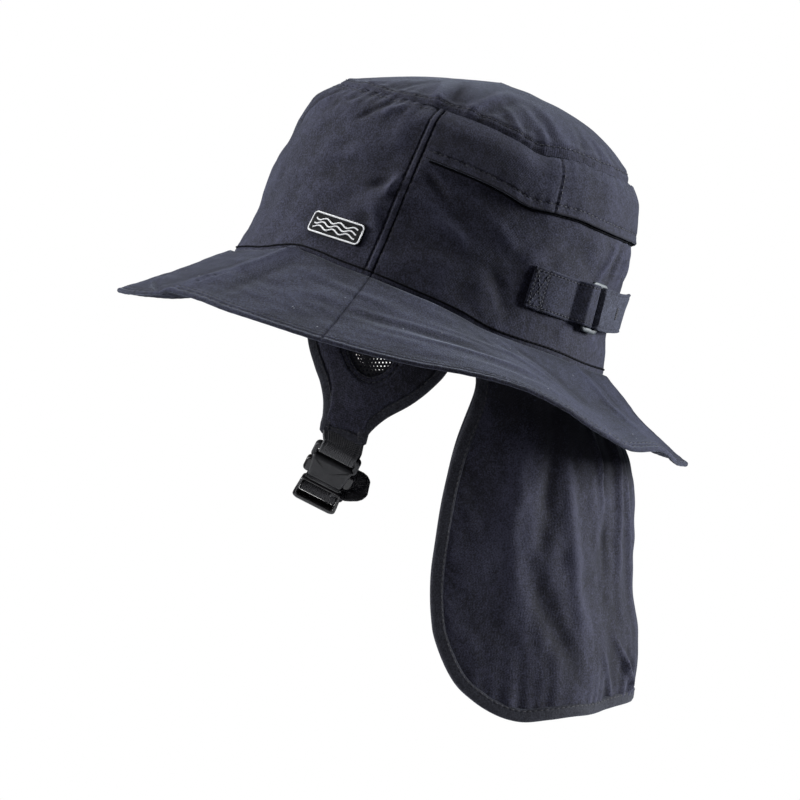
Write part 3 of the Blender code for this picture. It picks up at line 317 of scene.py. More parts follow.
def crown_relief(angle, share):
    """Small forms of the wall in millimetres: creases, soft dents, puckers at its seams, the fell."""
    along, up = around(angle), share * CROWN_HEIGHT
    push = 2.1 * creased(along, up, CREASES, np.radians(HEAD_WIDTH / 2), CROWN_HEIGHT)
    push = push + 0.35 * soft_noise(along, up, 22.0, 3) + 0.55 * soft_noise(along, up, 9.0, 4)
    push = push + 0.14 * soft_noise(along, up, 3.5, 5)
    push = push + 0.75 * puckers(along, CROWN_HEIGHT - up, 7.5, 8.0, 11)
    push = push + 0.30 * puckers(along, CROWN_HEIGHT - up, 3.2, 2.4, 13)
    push = push + 0.28 * puckers(along, up, 8.5, 5.0, 15)
    from_seam = around(folded(angle)) - around(SIDE_SEAM_ANGLE)
    push = push + 0.28 * puckers(up, from_seam, 5.5, 4.0, 17)
    fell = ease((from_seam + FELL_WIDTH + 0.5) / 0.8) * ease((0.2 - from_seam) / 0.8)
    stitched = bell(from_seam + FELL_WIDTH, 0.45) + bell(from_seam, 0.45)
    push = push + 0.25 * fell - 0.85 * stitched
    fade = ease((up + 1) / 4)
    return push * fade


def normals_of(place, u, v, step_u=0.02, step_v=0.0002):
    """Unit normals of a surface, from small steps along both of its directions."""
    along_u = place(u + step_u, v) - place(u - step_u, v)
    return unit(np.cross(along_u, place(u, v + step_v) - place(u, v - step_v)))


def tilted(points):
    """Points of the hat's own frame, in the world."""
    turn = np.radians(-TILT_BACK)
    x, y, z = np.moveaxis(np.asarray(points, float), -1, 0)
    return np.stack([x, y * np.cos(turn) - z * np.sin(turn), y * np.sin(turn) + z * np.cos(turn)], -1)


def dense(first, last, step, lines=(), fine=0.25, reach=1.6):
    """Sorted places with an even step, and a fine one within reach of some lines."""
    places = [np.linspace(first, last, max(int(round((last - first) / step)), 1) + 1)]
    for line in lines:
        near = line + np.linspace(-reach, reach, int(2 * reach / fine) + 1)
        places.append(near[(near > first) & (near < last)])
    places = np.unique(np.round(np.concatenate(places), 4))
    keep = np.concatenate([[True], np.diff(places) > fine * 0.5])
    keep[-1] = True
    return places[keep]


def rounded_edge(away, thickness):
    """Share of a cloth's thickness left at a distance from its edge, so that the edge is round."""
    t = np.clip(away / (thickness / 2), 0, 1)
    return np.sqrt(np.maximum(1 - (1 - t) ** 2, 0.0025))


def new_object(name, points, faces, material, attributes=(), uv=None, smooth_below=50.0):
    """An object of points in millimetres, with doubles merged and faces turned outwards."""
    mesh = bpy.data.meshes.new(name)
    mesh.from_pydata((np.asarray(points, float) * MM).tolist(), [], faces.tolist())
    for key, values in attributes:
        layer = mesh.attributes.new(key, "FLOAT", "POINT")
        layer.data.foreach_set("value", np.asarray(values, np.float32).ravel())
    if uv is not None:
        layer = mesh.uv_layers.new(name="cut")
        index = np.empty(len(mesh.loops), np.int32)
        mesh.loops.foreach_get("vertex_index", index)
        layer.data.foreach_set("uv", np.asarray(uv, np.float32)[index].ravel())
    work = bmesh.new()
    work.from_mesh(mesh)
    bmesh.ops.remove_doubles(work, verts=work.verts, dist=2e-6)
    bmesh.ops.recalc_face_normals(work, faces=work.faces)
    work.to_mesh(mesh)
    work.free()
    mesh.materials.append(material)
    mesh.shade_smooth()
    mesh.set_sharp_from_angle(angle=np.radians(smooth_below))
    made = bpy.data.objects.new(name, mesh)
    bpy.context.scene.collection.objects.link(made)
    return made


def grid_of(rows, columns, first=0):
    """Quads of a grid of points, by index."""
    at = first + np.arange(rows * columns).reshape(rows, columns)
    return np.stack([at[:-1, :-1], at[1:, :-1], at[1:, 1:], at[:-1, 1:]], -1).reshape(-1, 4)


def wall(name, outer, inner, material, painted_light=None, smooth_below=50.0):
    """A closed piece of cloth between two grids of points, joined round all four edges.

    Its UV map is the distance along and across the outer face, in metres."""
    rows, columns = outer.shape[:2]
    at = np.arange(rows * columns).reshape(rows, columns)
    count = rows * columns
    faces = [grid_of(rows, columns), grid_of(rows, columns, count)[:, ::-1]]
    for edge in (at[0], at[-1], at[:, 0], at[:, -1]):
        faces.append(np.stack([edge[:-1], edge[1:], edge[1:] + count, edge[:-1] + count], -1))
    run = np.linalg.norm(np.diff(outer, axis=0, prepend=outer[:1]), axis=-1).mean(axis=1).cumsum()
    climb = np.linalg.norm(np.diff(outer, axis=1, prepend=outer[:, :1]), axis=-1).mean(axis=0).cumsum()
    uv = np.stack(np.meshgrid(run, climb, indexing="ij"), -1).reshape(-1, 2) * MM
    # Per-point painted light of the outer face: painted highlights on fold crests, painted shade in hollows
    # and shadowed places. The inner face gets none.
    painted_light = np.zeros((rows, columns)) if painted_light is None else np.broadcast_to(painted_light, (rows, columns))
    painted_light = np.concatenate([painted_light.ravel(), np.zeros(count)])
    points = np.concatenate([outer.reshape(-1, 3), inner.reshape(-1, 3)])
    return new_object(name, points, np.concatenate(faces), material, [("painted_light", painted_light)],
                      np.concatenate([uv, uv]), smooth_below)


def dressed(piece, slot, *nodes):
    """Makes a piece ride on the hat and hides the solids it stands for; the slot is not used."""
    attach(piece, "root")
    if nodes:
        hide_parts(*nodes)
    return piece


def noise(tree, place, **inputs):
    """A noise texture's value over the given coordinates."""
    return add_node(tree, "TexNoise", {"Vector": place, **inputs}).outputs["Fac"]


def waves(tree, place, way, **inputs):
    """A wave texture's value over the given coordinates, with its bands running one way."""
    return add_node(tree, "TexWave", {"Vector": place, **inputs}, bands_direction=way).outputs["Fac"]


def bumped(tree, height, strength, distance):
    """Normals bent by the height from a socket, over a distance in metres."""
    inputs = {"Height": height, "Strength": strength, "Distance": distance}
    return add_node(tree, "Bump", inputs).outputs["Normal"]


def blended(tree, share, first, second):
    """Colour that runs from the first to the second as a socket goes from 0 to 1."""
    inputs = {"Factor": share, "A": first, "B": second}
    return add_node(tree, "Mix", inputs, data_type="RGBA").outputs["Result"]


def ramp(tree, share, dark, light, start=0.0, end=1.0):
    """Colour of a ramp between two tones, driven by a socket."""
    node = add_node(tree, "ValToRGB", {"Fac": share})
    low, high = node.color_ramp.elements
    low.color, high.color = (*dark, 1), (*light, 1)
    low.position, high.position = start, end
    return node.outputs["Color"]


def cloth_material(name, deep, light_tone, tone_spread, lint, sheen):
    """Peached microfibre: mottled dye, painted light on its folds, a fine nap and a soft bluish sheen.

    The colour runs from the deep to the light tone by noise at three scales, the dye's own mottle, and by
    the piece's painted light values: painted highlights on fold crests, painted shade in hollows and in
    shadowed places. The bump adds the nap's grain and the weave's threads on the piece's own cut map."""
    made, tree, shader = new_material(name, {
        "Roughness": 0.82, "Specular IOR Level": 0.25, "Sheen Weight": sheen, "Sheen Roughness": 0.42,
        "Sheen Tint": (0.72, 0.80, 0.95, 1)})
    place = add_node(tree, "TexCoord").outputs

    def math(kind, first, second, clamp=False):
        """One sum, product or comparison of two sockets or numbers."""
        return add_node(tree, "Math", {0: first, 1: second}, operation=kind, use_clamp=clamp).outputs[0]

    def fleck(scale, detail, rough=0.6):
        """Noise on the piece's own coordinates."""
        return noise(tree, place["Object"], Scale=scale, Detail=detail, Roughness=rough)

    patches = math("MULTIPLY", math("SUBTRACT", fleck(16, 4), 0.5), 0.55)
    mottle = math("MULTIPLY", math("SUBTRACT", fleck(260, 5, 0.75), 0.5), 1.9)
    grain = math("MULTIPLY", math("SUBTRACT", fleck(1300, 3), 0.5), 3.8)
    # Painted light: each piece's painted highlights and painted shade, from its own point values, shift the
    # tone.
    painted_light = math("MULTIPLY", add_node(tree, "Attribute", attribute_name="painted_light").outputs["Fac"], 0.4)
    fade = math("ADD", math("ADD", patches, mottle), math("ADD", grain, painted_light))
    fade = math("ADD", math("MULTIPLY", fade, tone_spread), 0.36, clamp=True)
    colour = blended(tree, fade, (*deep, 1), (*light_tone, 1))
    if lint:
        cells = add_node(tree, "TexVoronoi", {"Vector": place["Object"], "Scale": 210})
        dot = math("LESS_THAN", cells.outputs["Distance"], 0.085)
        some = math("GREATER_THAN", fleck(60, 2), 0.58)
        specks = math("MULTIPLY", math("MULTIPLY", dot, some), lint)
        colour = blended(tree, specks, colour, (0.30, 0.31, 0.34, 1))
    threads = math("ADD", *(waves(tree, place["UV"], way, Scale=420, Distortion=1.5) for way in "XY"))
    nap = math("ADD", math("MULTIPLY", fleck(900, 4), 0.8), math("MULTIPLY", threads, 0.22))
    height = math("ADD", nap, math("MULTIPLY", mottle, 0.5))
    fed(tree, shader, {"Base Color": colour, "Normal": bumped(tree, height, 0.45, 0.0005)})
    return made


CROWN_CLOTH = cloth_material("crown_cloth_look", (0.0044, 0.0040, 0.0088), (0.035, 0.036, 0.063),
                             0.8, 0.0, 0.16)


def thread_material(name, dark, light, gloss=0.5):
    """Spun thread: its plies show as fine noise between a dark and a light tone."""
    made, tree, shader = new_material(name, {"Roughness": 0.6, "Specular IOR Level": gloss})
    ply = noise(tree, add_node(tree, "TexCoord").outputs["Object"], Scale=2600)
    fed(tree, shader, {"Base Color": ramp(tree, ply, dark, light)})
    return made


THREAD = thread_material("thread_look", (0.004, 0.004, 0.007), (0.030, 0.031, 0.044))
DARK_THREAD = thread_material("dark_thread_look", (0.002, 0.002, 0.003), (0.012, 0.012, 0.017))
# Near-black thread for thin cords laid as painted shadow lines under the yoke's hem and at the crown's foot.
SHADOW_CORD_PAINT = thread_material("painted_shadow_cord_look", (0.001, 0.001, 0.002), (0.003, 0.003, 0.005), 0.05)


def bands(sides, count):
    """Quads of a tube with some sides, by index, for a count of bands between its rings."""
    ring = np.arange(sides)
    band = np.stack([ring, (ring + 1) % sides, (ring + 1) % sides + sides, ring + sides], -1)
    return np.concatenate([band + sides * step for step in range(count)])


def repeated(faces, size, count):
    """The faces of many like pieces, each of some points, one after the other."""
    return (np.arange(count)[:, None, None] * size + faces[None]).reshape(-1, 4)


def lengths_of(path):
    """Distance along a path to each of its points."""
    return np.linalg.norm(np.diff(path, axis=0, prepend=path[:1]), axis=-1).cumsum()


def sampled(at, knots, path):
    """Values of a path's columns at some lengths between its knots."""
    return np.stack([np.interp(at, knots, column) for column in np.transpose(path)], -1)


def stitches(name, rows, pitch=2.9, length=2.0, width=0.55, material=THREAD):
    """Rows of sewn stitches: each is a six-sided capsule of four rings, laid along its row.

    A row is a path of points with the cloth's normal at each, both in the world."""
    turn = np.arange(6) * np.pi / 3
    rings = ((-0.5, 0.25), (-0.3, 1.0), (0.3, 1.0), (0.5, 0.25))
    shape = np.concatenate([np.stack([np.full(6, a * length), width / 2 * r * np.cos(turn),
                                      width / 2 * r * 0.8 * np.sin(turn)], -1) for a, r in rings])
    caps = np.array([(0, 1, 2, 3), (0, 3, 4, 5), (18, 21, 20, 19), (18, 23, 22, 21)])
    made = []
    for path, normal in rows:
        lengths = lengths_of(path)
        at = np.arange(pitch / 2, lengths[-1] - pitch / 3, pitch)
        along = unit(sampled(at + 0.6, lengths, path) - sampled(at - 0.6, lengths, path))
        side = unit(np.cross(sampled(at, lengths, normal), along))
        basis = np.stack([along, side, np.cross(along, side)], axis=1)
        made.append(sampled(at, lengths, path)[:, None] + np.einsum("pk,nkc->npc", shape, basis))
    points = np.concatenate(made)
    faces = repeated(np.concatenate([bands(6, 3), caps]), len(shape), len(points))
    return new_object(name, points.reshape(-1, 3), faces, material, smooth_below=180.0)


def skin(place, relief, angle, share, lift=0.0, side=1):
    """World points over a creased face, raised from it by a lift, and the normals there."""
    angle, share, lift = np.broadcast_arrays(*(np.asarray(part, float) for part in (angle, share, lift)))
    normal = side * normals_of(place, angle, share)
    return tilted(raised(place(angle, share), relief(angle, share) + lift, normal)), tilted(normal)


def layers(place, normal, *lifts):
    """Faces of a cloth at some lifts from a surface of the hat's own frame, in the world."""
    return [tilted(raised(place, lift, normal)) for lift in lifts]


def painted_fold_light(relief, height):
    """Painted light of a relief's folds: a painted highlight that reaches 1 on crests of some height, and
    painted shade down to -0.8 in its hollows.
    """
    return np.clip(relief / height, -0.8, 1)


def crown_panel(name, first, last, node):
    """A panel of the wall: the creased outer face, and the lining face that follows it more softly."""
    fell = SIDE_SEAM_ANGLE - turn_of(FELL_WIDTH)
    lines = [side * line % 360 if first >= 0 else side * line for side in (-1, 1)
             for line in (SIDE_SEAM_ANGLE, fell)]
    angles = dense(first, last, 0.8, lines, fine=0.2, reach=0.8)
    heights = np.concatenate([np.linspace(-FOOT_TUCK / CROWN_HEIGHT, 0.06, 8),
                              np.linspace(0.075, 0.90, 66), np.linspace(0.912, 1.0, 12)])
    u, v = np.meshgrid(angles, heights, indexing="ij")
    relief = crown_relief(u, v)
    edge = np.minimum(around(1.0) * (u - first), around(1.0) * (last - u))
    thick = CLOTH / 2 * rounded_edge(edge + 0.12, CLOTH)
    faces = layers(crown_at(u, v), normals_of(crown_at, u, v), -CLOTH / 2 + thick + relief,
                   -CLOTH / 2 - thick + 0.5 * np.minimum(relief, 0))
    # The wall's colour carries painted light: painted highlights on its fold crests and painted shade in its
    # hollows.
    return dressed(wall(name, *faces, CROWN_CLOTH, painted_fold_light(relief, 1.1)), "crown_cloth", node)


crown_panel("crown_front_panel", -SIDE_SEAM_ANGLE, SIDE_SEAM_ANGLE, "crown_front")
crown_panel("crown_back_panel", SIDE_SEAM_ANGLE, 360 - SIDE_SEAM_ANGLE, "crown_back")
seam_rows = []
for seam_side in (1, -1):
    for seam_step in (FELL_WIDTH, -0.35):
        seam_angle = seam_side * (SIDE_SEAM_ANGLE - turn_of(seam_step))
        seam_rows.append(skin(crown_at, crown_relief, seam_angle, np.linspace(0.01, 0.985, 120), 0.12))
dressed(stitches("side_seam_stitches", seam_rows), "crown_cloth")

# Crown top
# The puffed top piece, cut wider than the wall it is sewn to, so that it gathers into soft wrinkles
# that run in from the seam. Two rows of stitches follow the seam round the top.
DOME_HEIGHT = 28.0
DOME_FRONT_FALL = 0.5
TOP_CREASES = table("angle_1 share_1 angle_2 share_2 depth width", """
    84 0.99 97 0.62 1 2.6,  88 0.98 104 0.66 -0.9 2.4,  72 0.99 62 0.7 0.9 2.6,  78 0.99 72 0.6 -0.9 3,
    112 0.99 100 0.7 0.8 3,  118 0.97 110 0.6 0.7 3.6,  100 0.97 92 0.8 0.7 2.2,
    128 0.99 134 0.72 -0.6 2.6,  146 0.99 140 0.76 0.7 2.6,  50 0.99 56 0.66 -0.6 3,
    36 0.99 48 0.72 0.6 3,  14 0.98 20 0.7 0.5 3.2,  166 0.98 158 0.7 -0.6 2.8,
    -24 0.99 -34 0.66 0.7 3,  -52 0.98 -60 0.62 -0.8 2.8,  -76 0.99 -70 0.66 0.8 2.8,
    -98 0.99 -108 0.64 -0.8 2.8,  -120 0.98 -112 0.7 0.7 3,  -148 0.99 -156 0.7 0.7 3""")


def dome_at(angle, share):
    """Crown's top: share 0 is its middle and 1 its seam, swelling as (1 - share^2.5)^0.75."""
    x, y = oval(angle, TOP_LENGTH * share, TOP_WIDTH * share)
    rim = CROWN_HEIGHT + LAYER_GAP + top_wave(angle) * share**2
    front = np.maximum(-y / (TOP_LENGTH / 2), 0) ** 0.8
    swell = np.maximum(1 - np.clip(share, 0, 1) ** 2.5, 0) ** 0.75
    z = rim + DOME_HEIGHT * swell * (1 - DOME_FRONT_FALL * front)
    return np.stack([x, y + TOP_SHIFT, z + 0 * share], -1)


def top_relief(angle, share):
    """Wrinkles of the top in millimetres: creases from the seam, soft dents and seam puckers."""
    x, y = oval(angle, TOP_LENGTH * share, TOP_WIDTH * share)
    push = 0.7 * soft_noise(x + 300, y + 300, 26.0, 21) + 0.25 * soft_noise(x + 300, y + 300, 9.0, 22)
    for a1, s1, a2, s2, depth, width in zip(*TOP_CREASES.values()):
        x1, y1 = oval(np.array(a1), TOP_LENGTH * s1, TOP_WIDTH * s1)
        x2, y2 = oval(np.array(a2), TOP_LENGTH * s2, TOP_WIDTH * s2)
        away, t = from_line(x, y, x1, y1, x2, y2)
        push = push + 2.2 * depth * bell(away, width) * (1 - 0.8 * t)
    from_rim = (1 - share) * TOP_WIDTH / 2
    along = around(angle) * 0.8
    push = push + 0.7 * puckers(along, from_rim, 8.0, 7.0, 24) + 0.4 * puckers(along, from_rim, 3.6, 3.0, 26)
    push = push * (0.3 + 0.7 * ease(from_rim / 5)) - 0.45 * bell(from_rim - 2.0, 0.6)
    return push * ease(share * 6)


top_angles = np.linspace(0, 360, 401)
top_shares = np.concatenate([[0.0], np.linspace(0.03, 0.88, 34), np.linspace(0.892, 1.0, 22)])
top_u, top_v = np.meshgrid(top_angles, top_shares, indexing="ij")
top_normal = -normals_of(dome_at, top_u, np.clip(top_v, 0.02, 0.985))
top_form = top_relief(top_u, top_v)
top_rim = (1 - top_v) * TOP_WIDTH / 2
roll = 0.7 * bell(top_rim - 2.4, 2.0) - 0.5 * bell(top_rim, 0.6)
top_faces = [raised(dome_at(top_u, top_v), lift, top_normal)
             for lift in (top_form + roll, 0.5 * np.minimum(top_form, 0) - CLOTH)]
for top_face in top_faces:
    top_face[-1] = top_face[0]
    top_face[:, 0] = top_face[:-1, 0].mean(axis=0)
# The top's colour carries painted light: painted highlights on its wrinkles' crests and painted shade in
# their hollows.
dressed(wall("crown_top_panel", *map(tilted, top_faces), CROWN_CLOTH, painted_fold_light(top_form, 1.3)),
        "crown_cloth", "crown_top")
ring_angles = np.linspace(0, 360, 721)
dressed(stitches("top_seam_stitches", [
    skin(dome_at, top_relief, ring_angles, 1 - 2.0 / (TOP_WIDTH / 2), 0.9, side=-1),
    skin(crown_at, crown_relief, ring_angles, 1 - 2.2 / CROWN_HEIGHT, 0.08),
], pitch=3.0), "crown_cloth")

# Yoke
# A second layer of cloth round the back half of the crown, sewn in at its top and both side seams.
# Its hem hangs free over the vents below it, with one row of stitches above the edge.
YOKE_ANGLE = 79.0
YOKE_FOOT = 0.70
YOKE_HEAD = 0.985
YOKE_CLOTH = 1.2
YOKE_LIFT = 0.9
YOKE_SEAM_ANGLE = 117.0
YOKE_HEM = 4.8
# Depth of the painted shadow on the lower edge of the yoke's hem
YOKE_HEM_PAINTED_SHADOW = 3.0
# A thin near-black cord that draws a painted shadow line.
SHADOW_CORD = {"pitch": 2.6, "length": 3.6, "width": 1.0, "material": SHADOW_CORD_PAINT}


def yoke_relief(angle, share):
    """The wall's own creases, softened, with the yoke's hem row, its short seams and puckers."""
    along, up = around(angle), (share - YOKE_FOOT) * CROWN_HEIGHT
    push = 0.55 * crown_relief(angle, share) + 0.35 * soft_noise(along, up, 14.0, 31)
    push = push + 0.30 * puckers(along, up - YOKE_HEM, 6.0, 3.0, 33) - 0.42 * bell(up - YOKE_HEM, 0.6)
    from_seam = np.abs(along) - around(YOKE_SEAM_ANGLE)
    push = push - 0.3 * bell(from_seam, 0.6) + 0.3 * puckers(up, from_seam, 5.0, 3.5, 35)
    return push


def yoke_lift(share):
    """How far the yoke stands off the wall: it opens towards its hem."""
    return LAYER_GAP + YOKE_LIFT * (YOKE_HEAD - share) / (YOKE_HEAD - YOKE_FOOT)


yoke_seams = (YOKE_SEAM_ANGLE, 360 - YOKE_SEAM_ANGLE)
yoke_angles = dense(YOKE_ANGLE - 1.2, 361.2 - YOKE_ANGLE, 0.8, yoke_seams, 0.25, 1.2)
yoke_ups = dense(0, (YOKE_HEAD - YOKE_FOOT) * CROWN_HEIGHT, 0.9, (0.4, YOKE_HEM), 0.3, 1.2)
yoke_u, yoke_v = np.meshgrid(yoke_angles, YOKE_FOOT + yoke_ups / CROWN_HEIGHT, indexing="ij")
yoke_form = yoke_relief(yoke_u, yoke_v)
yoke_up = (yoke_v - YOKE_FOOT) * CROWN_HEIGHT
yoke_thick = YOKE_CLOTH / 2 * rounded_edge(yoke_up + 0.05, YOKE_CLOTH)
yoke_middle = yoke_lift(yoke_v) + YOKE_CLOTH / 2 + yoke_form + 0.35 * bell(yoke_up, 2.0)
yoke_faces = layers(crown_at(yoke_u, yoke_v), normals_of(crown_at, yoke_u, yoke_v),
                    yoke_middle + yoke_thick, yoke_middle - yoke_thick)
# Painted light of the yoke's folds, and a painted shadow along the lower edge of its hem.
yoke_painted_light = painted_fold_light(yoke_form, 0.9) - YOKE_HEM_PAINTED_SHADOW * bell(yoke_up, 0.7)
dressed(wall("crown_yoke_layer", *yoke_faces, CROWN_CLOTH, yoke_painted_light), "crown_cloth", "crown_yoke")


def yoke_outside(angle, share):
    """How far the yoke's outer face lies from the plain wall."""
    return yoke_lift(share) + YOKE_CLOTH + yoke_relief(angle, share)


hem_angles = np.linspace(YOKE_ANGLE, 360 - YOKE_ANGLE, 700)
# Painted shadow: a near-black cord just below the yoke's hem, where its shadow falls on the wall.
hem_shadow_cord = skin(crown_at, crown_relief, hem_angles, YOKE_FOOT - 0.6 / CROWN_HEIGHT, 0.55)
dressed(stitches("yoke_hem_shadow_cord", [hem_shadow_cord], **SHADOW_CORD), "crown_cloth")
yoke_rows = [skin(crown_at, yoke_outside, hem_angles, YOKE_FOOT + YOKE_HEM / CROWN_HEIGHT, 0.12)]
short_heights = np.linspace(YOKE_FOOT + 0.01, YOKE_HEAD - 0.02, 60)
for short_angle in yoke_seams:
    yoke_rows.append(skin(crown_at, yoke_outside, short_angle + 1.0, short_heights, 0.05))
dressed(stitches("yoke_stitches", yoke_rows), "crown_cloth")

# Brim
# Two layers of washed cloth over a soft stiffener, seamed at both sides, with the outer edge turned
# and sewn. It is creased where it was folded, and its top is quilted with faint rows of stitches.
BRIM_LENGTH = 311.4
BRIM_WIDTH = 276.0
BRIM_SHIFT = 2.7
BRIM_DROP = 30.4
BRIM_WAVE = 10.0
BRIM_SAG = 0.35
BRIM_CLOTH = 1.8
BRIM_REACH = 54.0
BRIM_EDGE_ROW = 2.6
BRIM_ROW_GAP = 2.2
BRIM_SPREAD = 1.35
# Depth of the painted shade on the brim next to the crown's foot
BRIM_FOOT_PAINTED_SHADE = 3.2
BRIM_CLOTH_LOOK = cloth_material("brim_cloth_look", (0.0046, 0.0044, 0.0092), (0.035, 0.037, 0.066),
                                 0.8, 0.5, 0.18)
# Creases of the brim, by angle and share of the way out, with depth and width in millimetres
BRIM_CREASES = table("angle_1 out_1 angle_2 out_2 depth width", """
    44 0.1 28 0.9 -0.9 3.4,  56 0.1 50 0.9 -0.7 4,  45.8 0.48 40.6 0.93 -1.7 0.9,
    21 0.75 37 0.98 -1.5 0.9,  60 0.22 88 0.3 0.5 2.4,  78 0.45 104 0.4 0.8 1.8,
    80 0.52 112 0.5 -0.6 1.7,  84 0.6 118 0.56 0.7 1.6,  92 0.34 122 0.3 0.6 1.8,
    104 0.2 126 0.56 0.6 1.7,  112 0.12 132 0.48 -0.6 2,  98 0.74 128 0.72 0.5 2,
    140 0.04 147 0.8 1 2.2,  147 0.04 152 0.66 -0.9 2.2,  152 0.06 159 0.6 0.9 2.4,
    164 0.1 168 0.9 -0.8 2.8,  60 0.5 72 0.8 0.4 2.6,  -48 0.05 -22 0.92 1.6 4,
    -80 0.4 -112 0.46 0.7 2,  -92 0.6 -124 0.58 -0.6 2,  -142 0.06 -150 0.8 0.8 2.6,
    -166 0.1 -160 0.8 0.7 2.6""")


def brim_at(angle, share):
    """Upper face of the brim: share 0 is its outer edge and 1 the crown's foot."""
    side = folded(angle)
    out = 1 - share
    x0, y0 = oval(angle, HEAD_LENGTH + 2 * LAYER_GAP, HEAD_WIDTH + 2 * LAYER_GAP)
    x1, y1 = oval(angle, BRIM_LENGTH, BRIM_WIDTH)
    foot = foot_wave(angle)
    edge = BRIM_WAVE * smooth(side, ROUND["angle"], ROUND["brim"]) - BRIM_DROP
    sag = BRIM_SAG * (1 - np.cos(np.radians(side))) / 2
    fall = out + sag * out * (1 - out)
    y = y0 + (y1 + BRIM_SHIFT - y0) * out
    return np.stack([x0 + (x1 - x0) * out, y, foot + (edge - foot) * fall], -1)


def brim_relief(angle, share):
    """Creases, quilting rows, waves and edge puckers of the brim, in millimetres."""
    along, out = around(angle) * BRIM_SPREAD, (1 - share) * BRIM_REACH
    push = creased(along, out, BRIM_CREASES, np.radians(HEAD_WIDTH / 2) * BRIM_SPREAD, BRIM_REACH)
    push = push + 0.7 * soft_noise(along, out * 1.6, 20.0, 41)
    push = push + 0.3 * soft_noise(along * 0.6, out * 1.5, 7.0, 42)
    push = push + 0.035 * np.sin(2 * np.pi * out / 6.0 + 0.9 * soft_noise(along, out, 18.0, 43))
    from_row = BRIM_REACH - out - BRIM_EDGE_ROW
    push = push + 0.22 * puckers(along, from_row, 6.0, 3.5, 45)
    push = push - 0.35 * bell(from_row, 0.6) - 0.15 * bell(from_row - BRIM_ROW_GAP, 0.5)
    from_seam = np.abs(along) - around(SIDE_SEAM_ANGLE) * BRIM_SPREAD
    push = push - 0.4 * bell(from_seam, 0.6) + 0.2 * puckers(out, from_seam, 5.0, 3.0, 47)
    for side, height in ((1, 2.6), (-1, 1.8)):
        foot, tip = (side * around(place) * BRIM_SPREAD for place in (51.0, 39.5))
        ridge, _ = from_line(along, out, foot, 0.0, tip, BRIM_REACH)
        push = push + height * np.exp(-ridge / 4.5)
    return push * ease((out + 0.5) / 4) - 1.5 * bell(out - 0.2, 1.0)


def brim_panel(name, first, last, node):
    """A panel of the brim with a creased top, a plainer underside and a round turned edge."""
    angles = dense(first, last, 0.75, (first, last), 0.2, 0.8)
    ins = dense(0, BRIM_REACH, 1.0, (BRIM_EDGE_ROW, BRIM_EDGE_ROW + BRIM_ROW_GAP, 0.3), 0.3, 0.9)
    u, v = np.meshgrid(angles, ins / BRIM_REACH, indexing="ij")
    relief = brim_relief(u, v)
    turned = rounded_edge(v * BRIM_REACH + 0.02, BRIM_CLOTH) * (1 + 0.25 * bell(v * BRIM_REACH, 2.2, 4))
    from_seam = np.minimum(u - first, last - u) * around(1.0) * BRIM_SPREAD
    thick = BRIM_CLOTH / 2 * turned * rounded_edge(from_seam + 0.55, BRIM_CLOTH)
    middle = -BRIM_CLOTH * 0.62
    faces = layers(brim_at(u, v), normals_of(brim_at, u, v), middle + thick + relief,
                   middle - thick + 0.75 * relief)
    # Painted shade along the brim's foot where it meets the crown, on top of the painted light of the brim's
    # folds.
    shade = BRIM_FOOT_PAINTED_SHADE * bell((1 - v) * BRIM_REACH, 2.1)
    return dressed(wall(name, *faces, BRIM_CLOTH_LOOK, painted_fold_light(relief, 0.9) - shade), "brim_cloth", node)


brim_panel("brim_front_panel", -SIDE_SEAM_ANGLE, SIDE_SEAM_ANGLE, "brim_front")
brim_panel("brim_back_panel", SIDE_SEAM_ANGLE, 360 - SIDE_SEAM_ANGLE, "brim_back")
edge_angles = np.linspace(0, 360, 1441)
# Painted shadow: a near-black cord along the crown's foot, where the brim meets it.
dressed(stitches("brim_foot_shadow_cord", [skin(crown_at, crown_relief, edge_angles, 1.1 / CROWN_HEIGHT, 0.2)],
                 **SHADOW_CORD), "crown_cloth")
dressed(stitches("brim_stitches", [
    skin(brim_at, brim_relief, edge_angles, row / BRIM_REACH, lift - BRIM_CLOTH * 0.12)
    for row, lift in ((BRIM_EDGE_ROW, 0.1), (BRIM_EDGE_ROW + BRIM_ROW_GAP, 0.05))
], pitch=3.2), "brim_cloth")

# Label
# A small woven patch of black satin on the left of the crown's front, with rounded corners and a
# white border and wave lines in raised thread. It is sewn flat on the wall.
LABEL_ANGLE = 59.8
LABEL_CENTRE_HEIGHT = 25.2
LABEL_LENGTH = 31.0
LABEL_HEIGHT = 11.8
LABEL_CORNER = 2.2
LABEL_THICKNESS = 0.8
LABEL_BORDER = 0.85
LABEL_WAVES = ((2.05, 0.0), (-0.1, 0.9), (-2.25, 1.8))


def share_at(angle, height):
    """Height share of the crown's wall at a height above the head opening's plane."""
    foot = foot_wave(angle)
    return (height - foot) / (CROWN_HEIGHT + top_wave(angle) - foot)


def oval_stretch(angle):
    """How far one degree runs along the head's oval, as a share of the same on a round one."""
    ahead, behind = (np.array(oval(a, HEAD_LENGTH, HEAD_WIDTH)) for a in (angle + 1, angle - 1))
    return np.linalg.norm(ahead - behind) / (np.radians(2) * HEAD_WIDTH / 2)


def label_point(x, y, lift):
    """World points of the label's own plane, laid on the crown: x along it and y up it."""
    angle = LABEL_ANGLE + turn_of(x) / oval_stretch(LABEL_ANGLE)
    share = share_at(angle, LABEL_CENTRE_HEIGHT + y)
    return tilted(raised(crown_at(angle, share), LAYER_GAP + lift, normals_of(crown_at, angle, share)))


def oblong(half_length, half_height, corner, steps=7):
    """Outline of an oblong with rounded corners, as a loop of points in its own plane."""
    turn = np.linspace(0, np.pi / 2, steps)
    turns = np.concatenate([turn + k * np.pi / 2 for k in range(4)])
    sx, sy = np.repeat([1, -1, -1, 1], steps), np.repeat([1, 1, -1, -1], steps)
    return np.stack([sx * (half_length - corner) + corner * np.cos(turns),
                     sy * (half_height - corner) + corner * np.sin(turns)], -1)


